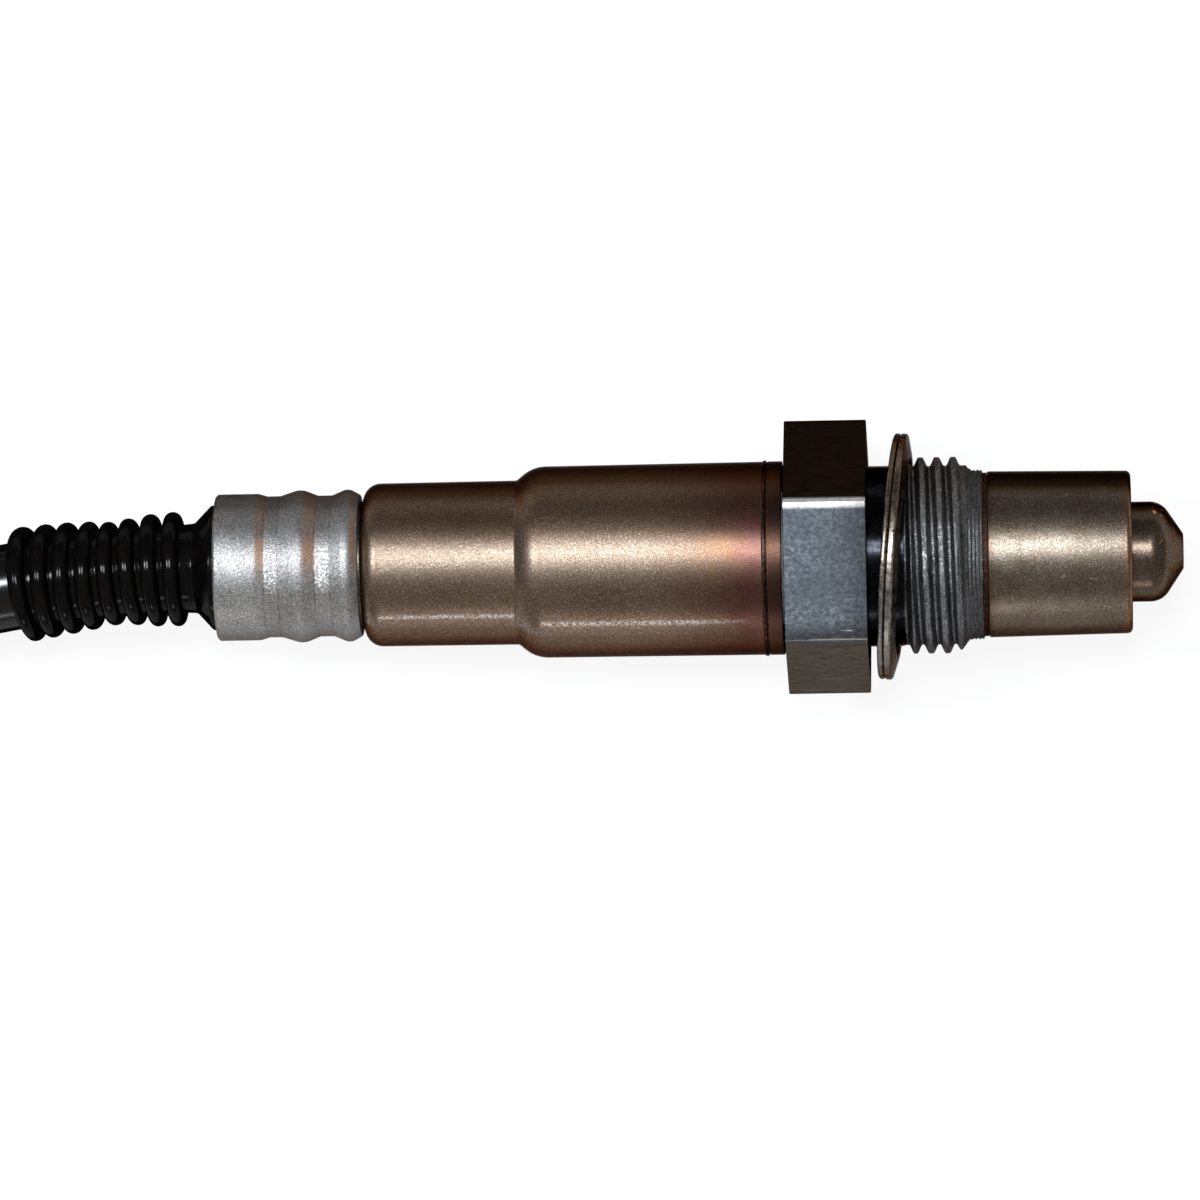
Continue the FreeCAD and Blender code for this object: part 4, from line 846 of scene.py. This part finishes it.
def make_housing():
    """Makes the housing: neck, greasy thread, pilot, groove and spigot, and the hexagon."""
    count = int((PILOT_END - NECK_END) / THREAD_STEP) + 1
    outline = [(NECK_START, HOUSING_BORE), (NECK_START, NECK_RADIUS)]
    outline += [(0.5 * i, NECK_RADIUS) for i in range(1, 7)]
    outline += [(NECK_END + i * THREAD_STEP, THREAD_RADIUS) for i in range(count)]
    outline += [(GROOVE_START, GROOVE_RADIUS), (GROOVE_END, GROOVE_RADIUS)]
    outline += [(GROOVE_END, SPIGOT_RADIUS), (SPIGOT_END, SPIGOT_RADIUS), (SPIGOT_END, HOUSING_BORE)]
    rings = turned_rings(outline, THREAD_SEGMENTS, greasy_surface)
    closed("threaded_neck", rings, (), GREASE, THREAD_CREASE)

    rings = [hexagon_ring(x, inset) for x, inset in HEX_STATIONS]
    count, total = len(rings[0]), len(rings) * len(rings[0])
    faces = skin(rings) + [tuple(range(count)), tuple(range(total - count, total))]
    finish_mesh("hexagon_body", rings, faces, ("hex_housing",), HOUSING, HEX_CREASE)


make_housing()


# the turned sheet pieces, as corners of (x, radius, round)

TURNED_SEGMENTS, TIP_SEGMENTS, RING_SEGMENTS = 192, 128, 160

SLEEVE_CORNERS = [
    # the collar, the weld line and its bead
    (-7.8, 8.9, 0.08),
    (-9.12, 8.9, 0.1),
    (-9.2, 8.78, 0.05),
    (-9.26, 8.98, 0.06),
    (-9.5, 9.0, 0.08),
    (-9.62, 8.88, 0.05),
    # the barrel, its shoulder, the narrow end and the tail
    (-30.76, 8.8, 3.3),
    (-32.25, 7.55, 0.5),
    (-46.4, 7.5, 1.6),
    (-46.4, 5.8, 0.2),
    (-52.6, 5.8),
    # back through the inside
    (-52.6, 5.3),
    (-45.9, 5.3),
    (-45.9, 7.05, 0.8),
    (-32.1, 7.05),
    (-30.6, 8.4),
    (-7.8, 8.4),
]

# the ferrule's rear edge, straight end, two soft valleys with round crests, and front edge
FERRULE_OUTSIDE = [
    (-60.0, 6.55, 0.12),
    (-59.8, 6.75, 0.1),
    (-56.1, 6.75, 1.2),
    (-55.3, 6.50, 0.5),
    (-54.1, 6.50, 0.5),
    (-52.15, 7.12, 1.8),
    (-50.6, 6.49, 0.5),
    (-49.3, 6.49, 0.5),
    (-47.8, 7.13, 1.1),
    (-46.7, 6.5, 0.12),
]
FERRULE_WALL = 0.6

TUBE_CORNERS = [
    (11.0, 7.63, 0.15),
    (24.15, 7.465, 0.5),
    (24.15, 4.65, 0.1),
    (23.65, 4.65),
    (23.65, 6.96),
    (11.0, 7.13),
]
NUB_CORNERS = [
    (11.5, 6.7),
    (11.5, 7.05),
    (13.85, 7.05),
    (13.85, 4.6, 0.3),
    (26.9, 4.6, 2.0),
    (28.9, 1.60, 0.4),
    (28.9, 1.0, 0.1),
    (28.55, 1.0),
    (28.55, 1.2),
    (26.65, 4.2),
    (13.5, 4.2),
    (13.5, 6.7),
]


def ferrule_corners():
    """Gives the ferrule's outside, and its inside one wall below it."""
    inside = [(x, radius - FERRULE_WALL, 0.3) for x, radius, _ in reversed(FERRULE_OUTSIDE[2:-1])]
    front, rear = (-46.7, 6.5 - FERRULE_WALL), (-60.0, 6.62 - FERRULE_WALL, 0.1)
    return FERRULE_OUTSIDE + [front] + inside + [rear]


turned("drawn_sleeve", SLEEVE_CORNERS, TURNED_SEGMENTS, ("outer_sleeve",), SLEEVE)
turned("crimped_ferrule", ferrule_corners(), TURNED_SEGMENTS,
       ("crimp_ferrule",), FERRULE)
turned("protection_tube", TUBE_CORNERS, TURNED_SEGMENTS,
       ("outer_protection_tube",), TUBE)
turned("tip_tube", NUB_CORNERS, TIP_SEGMENTS, ("inner_protection_tube",), NUB)


# the sealing ring, folded from sheet

SHEET, SEAM, RING_BORE, RING_RIM, RING_SPREAD = 0.57, 0.06, 9.1, 11.325, 0.4
RING_PLACE = Vector((2.3, 0.0, 0.34))
RING_PITCH, RING_YAW = math.radians(-2.8), math.radians(-4.35)


def make_sealing_ring():
    """Makes the folded sealing ring, standing loose and tilted on the neck."""
    half, lobe = SEAM / 2, SHEET * 0.49
    corners = [
        (-half - SHEET, RING_BORE, 0.4),
        (-half - SHEET, RING_RIM, lobe),
        (-half, RING_RIM, lobe),
        (-half, RING_BORE + SHEET),
        (half + RING_SPREAD, RING_BORE + SHEET, 0.2),
        (half, RING_RIM - 0.1, lobe * 0.4),
        (half + 0.02, RING_RIM, lobe * 0.3),
        (half + SHEET, RING_RIM, lobe * 0.8),
        (half + RING_SPREAD + SHEET, RING_BORE + SHEET, 0.4),
        (half + RING_SPREAD + SHEET, RING_BORE, 0.3),
    ]
    tilt = Matrix.Rotation(RING_PITCH, 3, "Y") @ Matrix.Rotation(RING_YAW, 3, "Z")
    rings = turned_rings(rounded(corners), RING_SEGMENTS)
    rings = [[RING_PLACE + tilt @ Vector(p) for p in ring] for ring in rings]
    closed("folded_ring", rings, ("sealing_ring",), RING)


make_sealing_ring()


# finishes of the pieces that keep their own shape

WIRE_COLOURS = {
    "red": (0.5, 0.02, 0.02),
    "yellow": (0.6, 0.45, 0.03),
    "black": (0.01, 0.01, 0.01),
    "white": (0.7, 0.7, 0.68),
    "grey": (0.15, 0.15, 0.16),
}


def dress_nodes():
    """Gives each piece that keeps its shape its own material."""
    looks = {
        "plug_gland": BOOT,
        "plug_housing": plain("plug_plastic", (0.011, 0.011, 0.012), 0.5),
        "coil_tie": plain("tie_plastic", (0.009, 0.009, 0.009), 0.5),
        "wire_grommet": plain("grommet_rubber", (0.03, 0.03, 0.03), 0.6),
        "plug_wire_seal": plain("seal_rubber", (0.25, 0.08, 0.03), 0.5),
        "plug_pin_lock": plain("lock_plastic", (0.20, 0.03, 0.10), 0.4),
        "clamp_ring": TUBE,
        "contact_clip": TUBE,
    }
    ceramic = plain("ceramic", (0.72, 0.69, 0.62), 0.5)
    contact = plain("contact_metal", (0.55, 0.53, 0.50), 0.3, 1.0)
    brass = plain("pin_metal", (0.72, 0.60, 0.32), 0.3, 1.0)
    for name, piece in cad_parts.items():
        if name.startswith("plug_pin_") and name[-1].isdigit():
            look = brass
        elif name.startswith("terminal_"):
            look = contact
        elif name.startswith("wire_") and name[5:] in WIRE_COLOURS:
            look = plain(name, WIRE_COLOURS[name[5:]], 0.4)
        else:
            look = looks.get(name, ceramic)
        piece.data.materials.clear()
        piece.data.materials.append(look)


dress_nodes()


# floor, lights and world, with sizes in metres and powers in watts

FLOOR_SIZE = 4.0
FLOOR_GREY = (0.9, 0.9, 0.9, 1.0)
CAMERA_SHARE, REFLECTED_SHARE = 0.9, 0.4
LAMP_DISTANCE = 0.95
KEY_TURN, LOW_TURN = math.radians(17.6), math.radians(-74.0)
COOL_WHITE, WHITE = (0.94, 1.0, 1.06), (1.0, 1.0, 1.0)
# name, turn, (length, width), power, colour, slide
LAMPS = [
    ("key_panel", KEY_TURN, (0.20, 0.20), 6.2, COOL_WHITE, 0.0),
    ("low_panel", LOW_TURN, (0.35, 0.10), 0.85, WHITE, -0.05),
    ("cord_panel", KEY_TURN, (0.20, 0.20), 8.0, COOL_WHITE, -0.56),
]
WORLD_COLOURS = [(0.0, (0.46, 0.445, 0.43)), (0.5, (0.34, 0.325, 0.31)), (1.0, (0.17, 0.16, 0.15))]


def make_floor():
    """Makes the pale floor, which glows for the camera and in part for reflections."""
    build = bmesh.new()
    bmesh.ops.create_grid(build, x_segments=1, y_segments=1, size=FLOOR_SIZE / 2)
    mesh = bpy.data.meshes.new("floor")
    build.to_mesh(mesh)
    build.free()
    floor = bpy.data.objects.new("floor", mesh)
    floor.location.z = FLOOR_LEVEL * MM
    bpy.context.scene.collection.objects.link(floor)
    s = Shader("floor")
    s.set(Base_Color=FLOOR_GREY, Roughness=1.0, Specular_IOR_Level=0.0)
    path = s.node("LightPath").outputs
    seen = s.times(path["Is Camera Ray"], CAMERA_SHARE)
    mirrored = s.math("MAXIMUM", path["Is Glossy Ray"], path["Is Transmission Ray"])
    share = s.math("MULTIPLY_ADD", mirrored, REFLECTED_SHARE, seen)
    both = s.node("MixShader")
    layers = (share, s.principled.outputs[0], s.node("Emission").outputs[0])
    for socket, value in zip(both.inputs, layers):
        s.feed(socket, value)
    s.feed(s.tree.nodes["Material Output"].inputs["Surface"], both.outputs[0])
    mesh.materials.append(s.material)


def make_light(name, turn, size, power, colour, slide):
    """Makes a soft panel over the part, turned from up towards +Y and slid along X."""
    data = bpy.data.lights.new(name, "AREA")
    data.shape = "RECTANGLE"
    data.size, data.size_y = size
    data.energy = power
    data.color = colour
    light = bpy.data.objects.new(name, data)
    back = Vector((0.0, math.sin(turn), math.cos(turn)))
    aim = Vector((slide, 0.0, 0.0)) + back * LAMP_DISTANCE
    light.location = Vector((PICTURE_CENTRE.x * MM, 0.0, 0.0)) + aim
    light.rotation_euler = aim.to_track_quat("Z", "Y").to_euler()
    bpy.context.scene.collection.objects.link(light)


def make_world():
    """Makes a soft light from all sides, brighter towards -Y than towards +Y."""
    world = bpy.data.worlds.new("studio")
    world.use_nodes = True
    tree = world.node_tree
    where = tree.nodes.new("ShaderNodeTexCoord")
    parts = tree.nodes.new("ShaderNodeSeparateXYZ")
    spread = tree.nodes.new("ShaderNodeMapRange")
    spread.inputs["From Min"].default_value = -1.0
    ramp = tree.nodes.new("ShaderNodeValToRGB")
    stops = ramp.color_ramp
    stops.elements.new(0.5)
    for element, (position, colour) in zip(stops.elements, WORLD_COLOURS):
        element.position = position
        element.color = (*colour, 1.0)
    tree.links.new(where.outputs["Generated"], parts.inputs[0])
    tree.links.new(parts.outputs["Y"], spread.inputs["Value"])
    tree.links.new(spread.outputs["Result"], ramp.inputs["Fac"])
    tree.links.new(ramp.outputs["Color"], tree.nodes["Background"].inputs["Color"])
    bpy.context.scene.world = world
    bpy.context.scene.view_settings.view_transform = "Standard"


make_floor()
for lamp in LAMPS:
    make_light(*lamp)
make_world()
